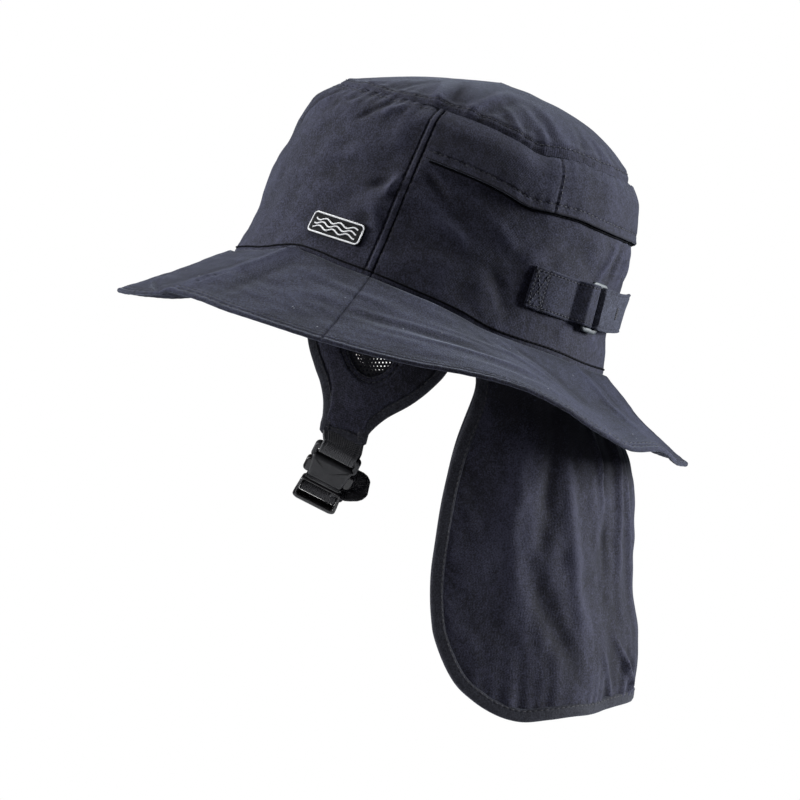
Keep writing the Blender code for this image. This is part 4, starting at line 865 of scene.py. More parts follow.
def lofted(name, rings, material, capped=True, smooth_below=40.0):
    """A piece skinned over like closed rings of points, with flat caps or wrapped into a tube."""
    closed = np.concatenate([rings, rings[:, :1]], axis=1)
    if capped:
        first, last = (np.repeat(end.mean(axis=1, keepdims=True), closed.shape[1], axis=1)
                       for end in (closed[:1], closed[-1:]))
        closed = np.concatenate([first, closed, last])
    else:
        closed = np.concatenate([closed, closed[:1]])
    faces = grid_of(*closed.shape[:2])
    return new_object(name, closed.reshape(-1, 3), faces, material, smooth_below=smooth_below)


def woven_material(name, colour, other, rough, scale):
    """Close-woven thread: ribs across the piece with a little change of colour along them."""
    made, tree, shader = new_material(name, {"Roughness": rough, "Specular IOR Level": 0.2})
    place = add_node(tree, "TexCoord").outputs["Object"]
    ribs = waves(tree, place, "DIAGONAL", Scale=scale, Distortion=2.0)
    tone = blended(tree, noise(tree, place, Scale=1200), (*colour, 1), (*other, 1))
    fed(tree, shader, {"Base Color": tone, "Normal": bumped(tree, ribs, 0.5, 0.0004)})
    return made


SATIN = woven_material("label_satin_look", (0.002, 0.002, 0.0025), (0.006, 0.006, 0.007), 0.7, 700)
WHITE_THREAD = woven_material("label_thread_look", (0.88, 0.88, 0.88), (1.0, 1.0, 1.0), 0.6, 900)


def label_stroke(name, path, width):
    """Raised thread along a path in the label's plane: a low round bead on the satin."""
    run = np.gradient(path, axis=0)
    if np.allclose(path[0], path[-1]):
        run[0] = run[-1] = path[1] - path[-2]
    across = unit(np.stack([-run[:, 1], run[:, 0]], -1))
    side = np.linspace(-1, 1, 7)
    plan = np.moveaxis(path[:, None] + across[:, None] * side[:, None] * width / 2, -1, 0)
    bead = LABEL_THICKNESS + 0.38 * np.sqrt(np.maximum(1 - side**2, 0.02))
    faces = (label_point(*plan, lift) for lift in (bead, LABEL_THICKNESS - 0.2))
    return dressed(wall(name, *faces, WHITE_THREAD), "label_cloth")


label_rings = []
for inset, label_lift in ((3.6, 0.05), (0.15, 0.0), (0.0, 0.2), (0.0, 0.55), (0.25, 0.75),
                          (0.7, LABEL_THICKNESS), (2.0, LABEL_THICKNESS), (3.6, LABEL_THICKNESS)):
    label_outline = oblong(LABEL_LENGTH / 2 - inset, LABEL_HEIGHT / 2 - inset,
                           max(LABEL_CORNER - inset, 0.3), 12)
    label_rings.append(label_point(*label_outline.T, label_lift))
dressed(lofted("label_patch", np.array(label_rings), SATIN), "label_cloth", "label")
border_path = oblong(LABEL_LENGTH / 2 - 0.75, LABEL_HEIGHT / 2 - 0.75, LABEL_CORNER - 0.3, 12)
label_stroke("label_border", np.concatenate([border_path, border_path[:1]]), LABEL_BORDER)
wave_x = np.linspace(-LABEL_LENGTH / 2 + 3.2, LABEL_LENGTH / 2 - 3.2, 90)
for wave_number, (wave_height, wave_phase) in enumerate(LABEL_WAVES):
    wave_y = wave_height + 0.75 * np.sin(wave_x * 2 * np.pi / 8.2 + wave_phase)
    label_stroke(f"label_wave_{wave_number + 1}", np.stack([wave_x, wave_y], -1), 0.75)

# Size adjuster
# A cloth tab sewn to each side of the crown with a stitched box, a moulded slider that the tab is
# folded through, and one cloth strap that runs round the back from slider to slider.
STRAP_WIDTH = 21.5
STRAP_THICKNESS = 1.3
STRAP_HEIGHT = 28.4
STRAP_BACK_RISE = 4.0
STRAP_STAND_OFF = 4.6
TAB_START_ANGLE = 116.4
TAB_THICKNESS = 1.4
TAB_BOX_START = 1.6
TAB_BOX = 8.0
SLIDER_ANGLE = 144.2
SLIDER_LENGTH = 14.4
SLIDER_HEIGHT = 26.0
SLIDER_THICKNESS = 2.0
SLIDER_BAR = 2.8
SLIDER_STAND_OFF = 2.4
SLIDER_CLEARANCE = 1.1
GAP = 0.3
STRAP_ROW = 1.7
SEWN_SIDE = 0.84
SIDES = (("left", np.array([1, 1, 1])), ("right", np.array([-1, 1, 1])))
STRAP_CLOTH = cloth_material("strap_look", (0.0080, 0.0084, 0.0150), (0.056, 0.060, 0.088), 0.8, 0.0, 0.2)


def strap_height(angle):
    """Height of the adjuster's strap above the head opening: it climbs towards the back."""
    return STRAP_HEIGHT + STRAP_BACK_RISE * ease((folded(angle) - SLIDER_ANGLE) / (180 - SLIDER_ANGLE))


def strap_place(angle, across):
    """A band of the strap's width round the crown, across running from -1 to 1."""
    return crown_at(angle, share_at(angle, strap_height(angle) + across * STRAP_WIDTH / 2))


def slider_degrees(length):
    """Degrees round the crown that a length takes up at the slider."""
    return turn_of(length) / oval_stretch(SLIDER_ANGLE)


def plastic_material(name, colour, rough, tint=None):
    """Moulded plastic: fine spark-eroded grain, slightly scuffed, with a soft gloss."""
    made, tree, shader = new_material(name, {"Roughness": rough})
    place = add_node(tree, "TexCoord").outputs["Object"]
    scuff, grain = noise(tree, place, Scale=240, Detail=6), noise(tree, place, Scale=2800)
    tone = ramp(tree, scuff, colour, tint or np.array(colour) * 1.9, 0.3, 0.8)
    fed(tree, shader, {"Base Color": tone, "Normal": bumped(tree, grain, 0.25, 0.0002)})
    return made


SLIDER_PLASTIC = plastic_material("slider_plastic_look", (0.032, 0.038, 0.042), 0.5)
slider_bar = slider_degrees(SLIDER_LENGTH / 2)
slider_over = SLIDER_STAND_OFF + SLIDER_THICKNESS + SLIDER_CLEARANCE


def strap_band(name, angles, lifts, places, thickness, boxed, mirror, material, node):
    """A cloth band laid round the crown at given lifts, with sewn edges and an optional box."""
    u, v = np.meshgrid(angles, dense(-1, 1, 0.09, (-SEWN_SIDE, SEWN_SIDE), 0.03, 0.12), indexing="ij")
    middle = np.interp(folded(u), places, lifts) + thickness / 2
    along, up = around(u), v * STRAP_WIDTH / 2
    edge = STRAP_WIDTH / 2 * (1 - np.abs(v))
    relief = 0.16 * soft_noise(along, up, 6.0, 51) - 0.28 * bell(edge - STRAP_ROW, 0.5)
    relief = relief + 0.14 * puckers(along, edge - STRAP_ROW, 4.0, 2.0, 53)
    if boxed:
        from_start = np.abs(along) - around(TAB_START_ANGLE)
        for row in (TAB_BOX_START, TAB_BOX):
            relief = relief - 0.32 * bell(from_start - row, 0.5)
        box = ease((TAB_BOX - from_start) / 1.2) * ease((edge - STRAP_ROW) / 1.0)
        quilt = np.sin(from_start * 2.6 + up * 0.4) * np.sin(up * 1.9 - from_start * 0.5)
        relief = relief + box * 0.22 * quilt
        edge = np.minimum(edge, from_start + 0.05)
    half = thickness / 2 * rounded_edge(edge, thickness)
    faces = layers(strap_place(u, v), normals_of(strap_place, u, v), middle + half + relief, middle - half)
    # The band's colour carries painted light: painted highlights on its crests and painted shade in its sewn
    # grooves.
    made = wall(name, *(face * mirror for face in faces), material, painted_fold_light(relief, 0.5))
    return dressed(made, "crown_cloth", node)


def strap_skin(angle, across, lift):
    """Points over the strap's band at a lift from the crown, in the world, with the normals."""
    return skin(strap_place, lambda *flat: 0.0, angle, across, lift)


def slider_loop(name, mirror, node):
    """The slider: a rounded oblong ring of round bar, set flat over the crown at its own angle."""
    centre, normal = strap_place(SLIDER_ANGLE, 0.0), normals_of(strap_place, SLIDER_ANGLE, 0.0)
    along = unit(np.cross((0, 0, 1), normal))
    rings = []
    for turn in np.linspace(0, 2 * np.pi, 17)[:-1]:
        inset = SLIDER_BAR * 0.42 * (1 - signed_power(np.cos(turn), 0.6))
        depth = SLIDER_THICKNESS / 2 * (1 + signed_power(np.sin(turn), 0.6))
        outline = oblong(SLIDER_LENGTH / 2 - inset, SLIDER_HEIGHT / 2 - inset * 1.1, 3.2 - 0.8 * inset, 8)
        flat = outline[:, :1] * along + outline[:, 1:] * np.cross(normal, along)
        rings.append(centre + flat + (SLIDER_STAND_OFF + depth) * normal)
    made = lofted(name, tilted(np.array(rings)) * mirror, SLIDER_PLASTIC, capped=False, smooth_below=80)
    return dressed(made, "slider_plastic", node)


tab_places = np.array([TAB_START_ANGLE, SLIDER_ANGLE - 2.1 * slider_bar,
                       SLIDER_ANGLE - slider_bar - slider_degrees(1.5),
                       SLIDER_ANGLE - slider_bar + slider_degrees(SLIDER_BAR + 1.6),
                       SLIDER_ANGLE - slider_degrees(2 * GAP)])
tab_lifts = np.array([LAYER_GAP, LAYER_GAP, slider_over, slider_over, SLIDER_STAND_OFF])
tab_run = np.linspace(TAB_START_ANGLE + 0.8, tab_places[-2], 120)
tab_lift = np.interp(tab_run, tab_places, tab_lifts) + TAB_THICKNESS + 0.05
tab_across = np.linspace(-SEWN_SIDE, SEWN_SIDE, 30)
box_ends = [TAB_START_ANGLE + turn_of(row) for row in (TAB_BOX_START, TAB_BOX)]
tab_paths = [strap_skin(tab_run, side * SEWN_SIDE, tab_lift) for side in (1, -1)]
tab_paths += [strap_skin(end, tab_across, LAYER_GAP + TAB_THICKNESS + 0.05) for end in box_ends]
tab_paths += [strap_skin(np.linspace(*box_ends, 30), side * tab_across, LAYER_GAP + TAB_THICKNESS + 0.1)
              for side in (1, -1)]
tab_rows = []
for side_name, mirror in SIDES:
    strap_band(f"adjuster_tab_{side_name}_cloth", dense(TAB_START_ANGLE, tab_places[-1], 0.35), tab_lifts,
               tab_places, TAB_THICKNESS, True, mirror, BRIM_CLOTH_LOOK, f"adjuster_tab_{side_name}")
    slider_loop(f"slider_{side_name}_ring", mirror, f"slider_{side_name}")
    tab_rows += [(path * mirror, normal * mirror) for path, normal in tab_paths]
dressed(stitches("adjuster_stitches", tab_rows, pitch=2.2, length=1.6, width=0.5), "crown_cloth")
strap_places = np.array([SLIDER_ANGLE + slider_degrees(2 * GAP),
                         SLIDER_ANGLE + slider_bar - slider_degrees(SLIDER_BAR + 1.6),
                         SLIDER_ANGLE + slider_bar + slider_degrees(1.5), 180.0])
strap_lifts = np.array([SLIDER_STAND_OFF, slider_over, slider_over, STRAP_STAND_OFF])
strap_band("rear_strap_cloth", dense(strap_places[0], 360 - strap_places[0], 0.5), strap_lifts, strap_places,
           STRAP_THICKNESS, False, np.array([1, 1, 1]), STRAP_CLOTH, "rear_strap")
tack_rows = []
for tack_angle in (157.0, 157.5, 158.0, 202.0, 202.5, 203.0):
    tack_lift = np.interp(folded(tack_angle), strap_places, strap_lifts) + STRAP_THICKNESS + 0.12
    tack_rows.append(strap_skin(tack_angle, np.linspace(-0.3, 0.3, 12), tack_lift))
dressed(stitches("strap_bar_tacks", tack_rows, pitch=1.0, length=1.3, width=0.55), "crown_cloth")

# Ear flaps
# A padded flap of foam between two cloths on each side, bound round its edge with woven tape and
# sewn inside the crown's foot. A window over the ear is filled with coarse net and ringed by a seam.
EAR_PADDING = 4.0
EAR_EDGE = 1.1
EAR_LEAN = 7.0
EAR_DROP = 60.0
EAR_REACH = 56.0
EAR_TUCK = 4.0
EAR_DEPTH = CLOTH + LAYER_GAP + EAR_PADDING / 2
SEAM_ROUNDING = 5.0
BINDING_WIDTH = 4.8
WINDOW_CENTRE_Y = -23.5
WINDOW_CENTRE_Z = -13.0
WINDOW_WIDTH = 26.0
WINDOW_HEIGHT = 40.0
WINDOW_ROWS = (0.8, 3.1)
NET_CELL = 1.9
NET_HOLE = 0.49
EAR_OUTLINE = table("forward down", """
    1 0,  1.018 0.277,  0.989 0.516,  0.929 0.65,  0.877 0.738,  0.85 0.835,  0.857 0.929,  0.875 1.005,
    0.688 1.044,  0.509 1.084,  0.471 1.018,  0.325 0.924,  0.089 0.816,  -0.098 0.684,  -0.239 0.526,
    -0.33 0.29,  -0.357 0,  0.268 0""")
# Depth of the painted shadow of the brim on the ear flaps
EAR_PAINTED_SHADOW = 1.3
FLAP_CLOTH = cloth_material("flap_cloth_look", (0.0030, 0.0026, 0.0062), (0.030, 0.030, 0.052),
                            0.8, 0.0, 0.11)
TAPE = cloth_material("tape_look", (0.0055, 0.0052, 0.0085), (0.034, 0.035, 0.046), 0.6, 0.0, 0.12)
NET_YARN = woven_material("net_yarn_look", (0.006, 0.006, 0.008), (0.016, 0.016, 0.020), 0.7, 1500)


def crown_inside(y, z, depth):
    """X of a hanging cloth that lies some depth inside the crown's foot, for world Y and Z."""
    turn = np.radians(TILT_BACK)
    hat_y = y * np.cos(turn) - z * np.sin(turn)
    hat_z = y * np.sin(turn) + z * np.cos(turn)
    share = (hat_z + np.hypot(hat_z, SEAM_ROUNDING)) / 2 / CROWN_HEIGHT
    length = HEAD_LENGTH + (TOP_LENGTH - HEAD_LENGTH) * share
    width = HEAD_WIDTH + (TOP_WIDTH - HEAD_WIDTH) * share
    along = np.clip((hat_y - TOP_SHIFT * share) / (length / 2), -1, 1)
    x = width / 2 * (1 - np.abs(along) ** OVAL_POWER) ** (1 / OVAL_POWER)
    return x * (1 + OVAL_EGG * along) - depth


def seam_height(y):
    """World Z of the crown's foot seam at a world Y, along one side of the hat."""
    foot = tilted(crown_at(np.linspace(0.0, 180.0, 91), np.zeros(91)))
    return np.interp(y, foot[:, 1], foot[:, 2])


def ear_outline(at):
    """World Y and Z of the ear flap's outline, at some places along its closed curve."""
    count = len(EAR_OUTLINE["forward"])
    knots = np.arange(3 * count, dtype=float) - count
    y = -EAR_REACH * smooth(at, knots, np.tile(EAR_OUTLINE["forward"], 3))
    top = seam_height(y) + EAR_TUCK
    return y, top - (EAR_DROP + top) * smooth(at, knots, np.tile(EAR_OUTLINE["down"], 3))


def ear_cloth(y, z, depth):
    """A point of the ear flap's hanging surface, which leans inwards as it drops."""
    drop = np.maximum(-z / EAR_DROP, 0)
    return np.stack([crown_inside(y, z, depth + EAR_LEAN * drop**1.5), y, z], -1)


def ear_place(u, v):
    """The padded ring of the ear flap: v is 0 on its outline and 1 on its window's edge."""
    y, z = ear_outline(u)
    turn = np.arctan2((z - WINDOW_CENTRE_Z) / WINDOW_HEIGHT, (y - WINDOW_CENTRE_Y) / WINDOW_WIDTH)
    window_y = WINDOW_CENTRE_Y + WINDOW_WIDTH / 2 * np.cos(turn)
    window_z = WINDOW_CENTRE_Z + WINDOW_HEIGHT / 2 * np.sin(turn)
    return ear_cloth(y + (window_y - y) * v, z + (window_z - z) * v, EAR_DEPTH)


def even_turns(steps):
    """Places along the ear flap's outline that face its window at even turns."""
    count = len(EAR_OUTLINE["forward"])
    closely = np.linspace(0, count, 60 * count + 1)
    y, z = ear_outline(closely)
    turn = np.unwrap(np.arctan2((z - WINDOW_CENTRE_Z) / WINDOW_HEIGHT, (y - WINDOW_CENTRE_Y) / WINDOW_WIDTH))
    return np.interp(turn[0] + np.linspace(0, 2 * np.pi, steps), turn, closely)


def ear_form(u, v):
    """Half the padding's thickness and its outer relief, from the distances to edge and window."""
    point = ear_place(u, v)
    from_edge = np.linalg.norm(point - ear_place(u, 0.0), axis=-1)
    from_window = np.linalg.norm(point - ear_place(u, 1.0), axis=-1)
    swell = ease((from_edge - 2.5) / 6.0) * (0.55 + 0.45 * ease((from_window - 1.0) / 4.0))
    half = EAR_EDGE / 2 + (EAR_PADDING - EAR_EDGE) / 2 * swell
    y, z = point[..., 1], point[..., 2]
    relief = 0.35 * soft_noise(y + 200, z + 200, 13.0, 61) + 0.14 * soft_noise(y + 200, z + 200, 4.5, 62)
    edge_row, ring_row = WINDOW_ROWS
    relief = relief - 0.55 * bell(from_window - ring_row, 0.55) - 0.35 * bell(from_window - edge_row, 0.5)
    run = np.arctan2(z - WINDOW_CENTRE_Z, y - WINDOW_CENTRE_Y) * 17
    relief = relief + 0.25 * puckers(run, from_window - ring_row, 4.6, 2.6, 64)
    relief = relief + 0.3 * puckers(run * 1.6, from_edge - 5, 6.5, 3.5, 66)
    return half * np.where(v >= 1, 0.05, 1) * np.where(v <= 0, 0.05, 1), relief * ease((from_edge - 2) / 3)


def tape(name, path, inward, normal, width, half, closed):
    """Woven tape folded over a cloth's edge: a flat loop of rounded section carried along it."""
    front = [(width, half - 0.25), (width - 0.5, half + 0.55), (width * 0.75, half + 0.62),
             (width * 0.4, half + 0.75), (0.5, half + 0.72), (-0.5, half + 0.35)]
    section = np.array([*front, (-1.0, 0), *((across, -out) for across, out in front[::-1])])
    run = lengths_of(path)
    ripple = 1 + 0.10 * soft_noise(run, 0 * run, 9.0, 71)[:, None, None]
    rings = path[:, None] + section[:, :1] * inward[:, None] + section[:, 1:] * ripple * normal[:, None]
    return lofted(name, rings[:-1] if closed else rings, TAPE, capped=not closed, smooth_below=65)


def ear_net_mesh(name, mirror):
    """Coarse net: square cells in offset rows, each an eight-sided hole with a ring of yarn."""
    row, column = np.meshgrid(np.arange(-11, 12), np.arange(-9, 10), indexing="ij")
    y, z = (column + 0.5 * (row % 2)) * NET_CELL, row * NET_CELL
    inside = (y / (WINDOW_WIDTH / 2 + 0.6)) ** 2 + (z / (WINDOW_HEIGHT / 2 + 0.6)) ** 2 < 1
    centre = np.stack([y[inside], z[inside]], -1)[:, None, None]
    turn = np.arange(8) * np.pi / 4
    square = np.array([(1, 0), (1, 1), (0, 1), (-1, 1), (-1, 0), (-1, -1), (0, -1), (1, -1)]) * NET_CELL / 2
    hole = np.stack([np.cos(turn), np.sin(turn)], -1) * NET_HOLE * NET_CELL / 2
    points = centre + np.array([square, hole * 1.12, hole, hole * 1.12, square])
    lifts = np.array([0.32, 0.36, 0.0, -0.36, -0.32])[:, None, None] * (1, 0, 0)
    place = ear_cloth(WINDOW_CENTRE_Y + points[..., 0], WINDOW_CENTRE_Z + points[..., 1], EAR_DEPTH) + lifts
    faces = repeated(bands(8, 4), 40, len(centre))
    return new_object(name, place.reshape(-1, 3) * mirror, faces, NET_YARN, smooth_below=180)


ear_at = even_turns(261)
ear_depths = np.concatenate([[0.0], np.linspace(0.02, 0.98, 52), [1.0]])
ear_u, ear_v = np.meshgrid(ear_at, ear_depths, indexing="ij")
ear_half, ear_relief = ear_form(ear_u, ear_v)
ear_middle, ear_normal = ear_place(ear_u, ear_v), normals_of(ear_place, ear_u, ear_v)
ear_faces = [raised(ear_middle, lift, ear_normal)
             for lift in (ear_half + ear_relief, -(ear_half + 0.6 * ear_relief))]
for ear_face in ear_faces:
    ear_face[-1] = ear_face[0]
# Painted shadow of the brim: darker towards the back and the top of each ear flap.
ear_painted_shadow = EAR_PAINTED_SHADOW * ease((ear_middle[..., 1] + 18.0) / 16.0) * ease((ear_middle[..., 2] + 54.0) / 18.0)
edge_path, edge_normal = ear_place(ear_at, 0.0), normals_of(ear_place, ear_at, 0.0)
edge_along = np.roll(edge_path[:-1], -1, axis=0) - np.roll(edge_path[:-1], 1, axis=0)
edge_inward = unit(np.cross(edge_normal, np.concatenate([edge_along, edge_along[:1]])))
ear_paths = [(edge_path + (BINDING_WIDTH - 1.1) * edge_inward + face * 1.55 * edge_normal, face * edge_normal)
             for face in (1, -1)]
for window_step in WINDOW_ROWS:
    window_v = 1 - window_step / np.linalg.norm(edge_path - ear_place(ear_at, 1.0), axis=-1)
    window_normal = normals_of(ear_place, ear_at, window_v)
    window_lift = sum(ear_form(ear_at, window_v)) + 0.1
    ear_paths.append((raised(ear_place(ear_at, window_v), window_lift, window_normal), window_normal))
ear_rows = []
for side_name, mirror in SIDES:
    # The pad's colour carries painted light of its folds and the painted shadow of the brim.
    flap = wall(f"ear_flap_{side_name}_pad", *(face * mirror for face in ear_faces), FLAP_CLOTH,
                painted_fold_light(ear_relief, 0.8) - ear_painted_shadow)
    dressed(flap, "flap_cloth", f"ear_flap_{side_name}")
    binding = (part * mirror for part in (edge_path, edge_inward, edge_normal))
    dressed(tape(f"ear_binding_{side_name}_tape", *binding, BINDING_WIDTH, EAR_EDGE / 2 + 0.35, True),
            "trim", f"ear_binding_{side_name}")
    dressed(ear_net_mesh(f"ear_net_{side_name}_mesh", mirror), "net", f"ear_net_{side_name}")
    ear_rows += [(path * mirror, normal * mirror) for path, normal in ear_paths]
dressed(stitches("ear_flap_stitches", ear_rows, pitch=2.8, length=1.9, width=0.5, material=DARK_THREAD),
        "trim")

# Neck flap
# One long panel of the same microfibre, sewn inside the back of the crown's foot and hanging to the
# shoulders. Its free edges are bound with woven tape, which an elastic gathers a little at the back.
NECK_DROP = 203.8
NECK_WIDTH = 156.0
NECK_BACK = 108.6
NECK_CLOTH = 1.2
NECK_START_ANGLE = 105.0
NECK_TUCK = 7.0
NECK_FOLD = 2.6
NECK_EASE = 48.0
NECK_BINDING_WIDTH = 5.8
NECK_SWAY_LEFT = -3.2
NECK_SWAY_RIGHT = 1.5
NECK_RUN = 150.0
# Depth, and reach in millimetres, of the painted shadow of the brim along the neck flap's top
NECK_PAINTED_SHADOW = 1.3
NECK_SHADOW_REACH = 22.0
NECK_SIDE = table("drop edge back", """
    0 0.35 0.87,  0.16 0.33 0.93,  0.265 0.248 0.968,  0.35 0.188 0.99,  0.45 0.14 1,  0.57 0.103 1,
    0.64 0.085 1,  0.72 0.082 1,  0.8 0.095 1.024,  0.87 0.105 1.034,  1 0.112 1""")
NECK_HEM = table("place drop", """
    0 0.99,  0.263 0.994,  0.448 1.002,  0.566 1,  0.669 1.004,  0.762 1.006,  0.851 0.982,
    0.911 0.948,  0.966 0.893,  0.99 0.838,  1 0.795""")
NECK_FOLDS = table("place width depth", """
    0.62 0.14 0.9,  0.36 0.11 -1,  0.12 0.1 0.8,  -0.14 0.1 -0.8,  -0.38 0.12 0.9,  -0.66 0.13 -0.7""")
# Soft creases of the flap, by place round it and share of its drop, with depth and width
NECK_CREASES = table("place_1 drop_1 place_2 drop_2 depth width", """
    0.8 0.18 0.76 0.72 0.9 6,  0.66 0.12 0.68 0.52 -0.9 5,  0.6 0.3 0.52 0.74 1.1 4.6,
    0.74 0.56 0.56 0.9 -0.8 6,  0.44 0.18 0.36 0.46 1.2 3,  0.4 0.22 0.34 0.6 -0.9 3.2,
    0.28 0.1 0.24 0.62 1.2 3.6,  0.2 0.26 0.12 0.8 1.1 3,  0.14 0.2 0.08 0.7 -1 3.4,
    0.05 0.12 0.04 0.9 1 4,  0.3 0.8 0.16 0.98 1.2 2.2,  0.22 0.84 0.1 0.98 -1 2,
    0.4 0.84 0.3 0.99 0.9 2.4,  -0.1 0.15 -0.12 0.85 -1 4,  -0.26 0.12 -0.22 0.7 1.1 4,
    -0.48 0.16 -0.44 0.8 -1 5,  -0.66 0.2 -0.6 0.85 1 5,  -0.82 0.18 -0.78 0.7 -0.8 5,
    -0.2 0.82 -0.12 0.98 1 2.2""")


def neck_place(u, v):
    """The neck flap: u runs from -1 and 1 at its front edges to 0 at the back, and v down it."""
    place = np.abs(u)
    depth = CLOTH + LAYER_GAP + 0.7 + 0.7 + NECK_CLOTH / 2
    top_angle = 180 - place * (180 - NECK_START_ANGLE)
    top_x, top_y = oval(top_angle, HEAD_LENGTH - 2 * depth, HEAD_WIDTH - 2 * depth)
    foot = SEAM_WAVE * smooth(top_angle, ROUND["angle"], ROUND["foot"]) - FOOT_TUCK - LAYER_GAP
    top = tilted(np.stack([top_x, top_y, foot], -1))
    hem = -NECK_DROP * smooth(place, NECK_HEM["place"], NECK_HEM["drop"])
    z = top[..., 2] + (hem - top[..., 2]) * np.maximum(v, 0)
    drop = np.clip(-z / NECK_DROP, 0, 1)
    edge = smooth(drop, NECK_SIDE["drop"], NECK_SIDE["edge"])
    back = smooth(drop, NECK_SIDE["drop"], NECK_SIDE["back"])
    edge_angle = np.degrees(np.arccos(-((edge / back) ** (OVAL_POWER / 2))))
    angle = 180 - place * (180 - edge_angle)
    x, y = oval(angle, 2 * NECK_BACK * back, NECK_WIDTH)
    push = np.zeros(np.shape(x))
    for at, width, deep in zip(*NECK_FOLDS.values()):
        push = push + NECK_FOLD * deep * bell(u - at, width)
    push = push * ease(drop * 1.3) * (1 - place**4)
    hang = ease((top[..., 2] - z) / NECK_EASE)
    sway = place**3 * ease(drop * 5) * np.where(u > 0, NECK_SWAY_LEFT, NECK_SWAY_RIGHT)
    x = top[..., 0] + (x + push * np.sin(np.radians(angle)) - top[..., 0]) * hang
    y = top[..., 1] + (y - push * np.cos(np.radians(angle)) - top[..., 1]) * hang + sway
    tuck = np.maximum(-v, 0)[..., None] * NECK_DROP * tilted((0.0, 0.0, 1.0))
    return np.stack([np.where(u < 0, -x, x), y, z], -1) + tuck


def neck_normal(u, v):
    """Outward unit normals of the neck flap, kept off its very edges."""
    return normals_of(neck_place, np.clip(u, -0.975, 0.975), np.clip(v, 0.0, 0.995))


def neck_relief(u, v):
    """Creases, soft waves and hem gathers of the neck flap, in millimetres."""
    along, down = u * NECK_RUN, v * NECK_DROP
    push = 2.4 * creased(along, down, NECK_CREASES, NECK_RUN, NECK_DROP)
    push = push + 1.2 * soft_noise(along * 1.5, down * 0.6, 24.0, 81)
    push = push + 0.5 * soft_noise(along * 1.4, down * 0.7, 8.0, 82)
    from_hem, from_side = (1 - v) * NECK_DROP, (1 - np.abs(u)) * NECK_RUN
    back = bell(u, 0.42, 4)
    push = push + (0.5 + 1.2 * back) * puckers(along, from_hem, 9.0, 18.0, 84)
    push = push + 0.4 * back * puckers(along, from_hem, 4.6, 7.0, 86)
    push = push + 0.35 * puckers(down, from_side, 9.0, 8.0, 88)
    return push * (0.15 + 0.85 * ease(from_side / 7) * ease(from_hem / 7) * ease(down / 20))


neck_drops = np.concatenate([[-NECK_TUCK / NECK_DROP], np.linspace(0, 0.86, 110), np.linspace(0.866, 1, 34)])
neck_u, neck_v = np.meshgrid(np.linspace(-1, 1, 225), neck_drops, indexing="ij")
neck_form = neck_relief(neck_u, neck_v)
neck_middle, neck_out = neck_place(neck_u, neck_v), neck_normal(neck_u, neck_v)
# Height over the line of the brim's edge, which bounds the painted shadow of the brim.
neck_rise = neck_middle[..., 2] + 0.56 * (neck_middle[..., 1] - 30.0) + 36.0
neck_faces = (raised(neck_middle, lift, neck_out)
              for lift in (NECK_CLOTH / 2 + neck_form, neck_form - NECK_CLOTH / 2))
# The flap's colour carries painted light of its folds and a painted shadow of the brim along its top.
neck_flap = wall("neck_flap_cloth", *neck_faces, FLAP_CLOTH,
                 painted_fold_light(neck_form, 1.5) - NECK_PAINTED_SHADOW * ease((neck_rise + NECK_SHADOW_REACH) / NECK_SHADOW_REACH))
dressed(neck_flap, "flap_cloth", "neck_flap")
side_drops, hem_places = np.linspace(0.01, 0.992, 150), np.linspace(-1, 1, 261)
bind_u = np.concatenate([-np.ones(150), hem_places, np.ones(150)])
bind_v = np.concatenate([side_drops, np.ones(261), side_drops[::-1]])
bind_normal = neck_normal(bind_u, bind_v)
bind_path = raised(neck_place(bind_u, bind_v), neck_relief(bind_u, bind_v) * 0.9, bind_normal)
for smoothing in range(6):
    bind_path[1:-1] = 0.25 * bind_path[:-2] + 0.5 * bind_path[1:-1] + 0.25 * bind_path[2:]
bind_inward = unit(np.cross(bind_normal, np.gradient(bind_path, axis=0)))
bind_inward *= np.where(bind_inward[len(bind_u) // 2, 2] > 0, 1, -1)
neck_tape = tape("neck_binding_tape", bind_path, bind_inward, bind_normal, NECK_BINDING_WIDTH,
                 NECK_CLOTH / 2 + 0.35, False)
dressed(neck_tape, "trim", "neck_binding")
neck_sewing = dressed(stitches("neck_binding_stitches", [
    (bind_path + (NECK_BINDING_WIDTH - 1.1) * bind_inward + face * 1.6 * bind_normal, face * bind_normal)
    for face in (1, -1)], pitch=3.0, material=DARK_THREAD), "trim")

# Chin strap
# Woven nylon webbing from ear flap to ear flap, closed on the left by a moulded side-release buckle.
# A short loop holds the socket; the long run threads the plug's two slots and ends in a loose tail.
WEBBING_WIDTH = 20.0
WEBBING_THICKNESS = 1.2
BUCKLE_HALF = 12.6
BUCKLE_SHIFT = 1.2
SOCKET_LENGTH = 20.5
PLUG_LENGTH = 13.5
BUCKLE_LEAN_FORWARD = 27.0
BUCKLE_LEAN_INWARD = 26.0
BUCKLE_BAR = 3.0
BUCKLE_SLOT = 3.4
BAR_HALF = 1.4
PLUG_BAR = 1.8
PLUG_BAR_DEEP = 1.7
FLAP_EDGE_PLACE = 8.0
MATTE_PLASTIC = plastic_material("buckle_matte_look", (0.010, 0.010, 0.011), 0.55)
GLOSS_PLASTIC = plastic_material("buckle_gloss_look", (0.004, 0.004, 0.0045), 0.28, (0.012, 0.009, 0.009))


def webbing_material(name):
    """Woven nylon tape: chevron ribs along the tape, a selvedge at each edge and a little sheen."""
    made, tree, shader = new_material(name, {"Roughness": 0.62, "Sheen Weight": 0.25})
    place = add_node(tree, "UVMap", uv_map="along").outputs["UV"]
    ribs, warp = waves(tree, place, "X", Scale=0.5, Distortion=0.4), waves(tree, place, "Y", Scale=0.3)
    weave = add_node(tree, "Math", {0: ribs, 1: warp}, operation="MULTIPLY").outputs[0]
    fed(tree, shader, {"Base Color": ramp(tree, weave, (0.0025, 0.0022, 0.0035), (0.013, 0.012, 0.018)),
                       "Normal": bumped(tree, weave, 0.6, 0.0004)})
    return made


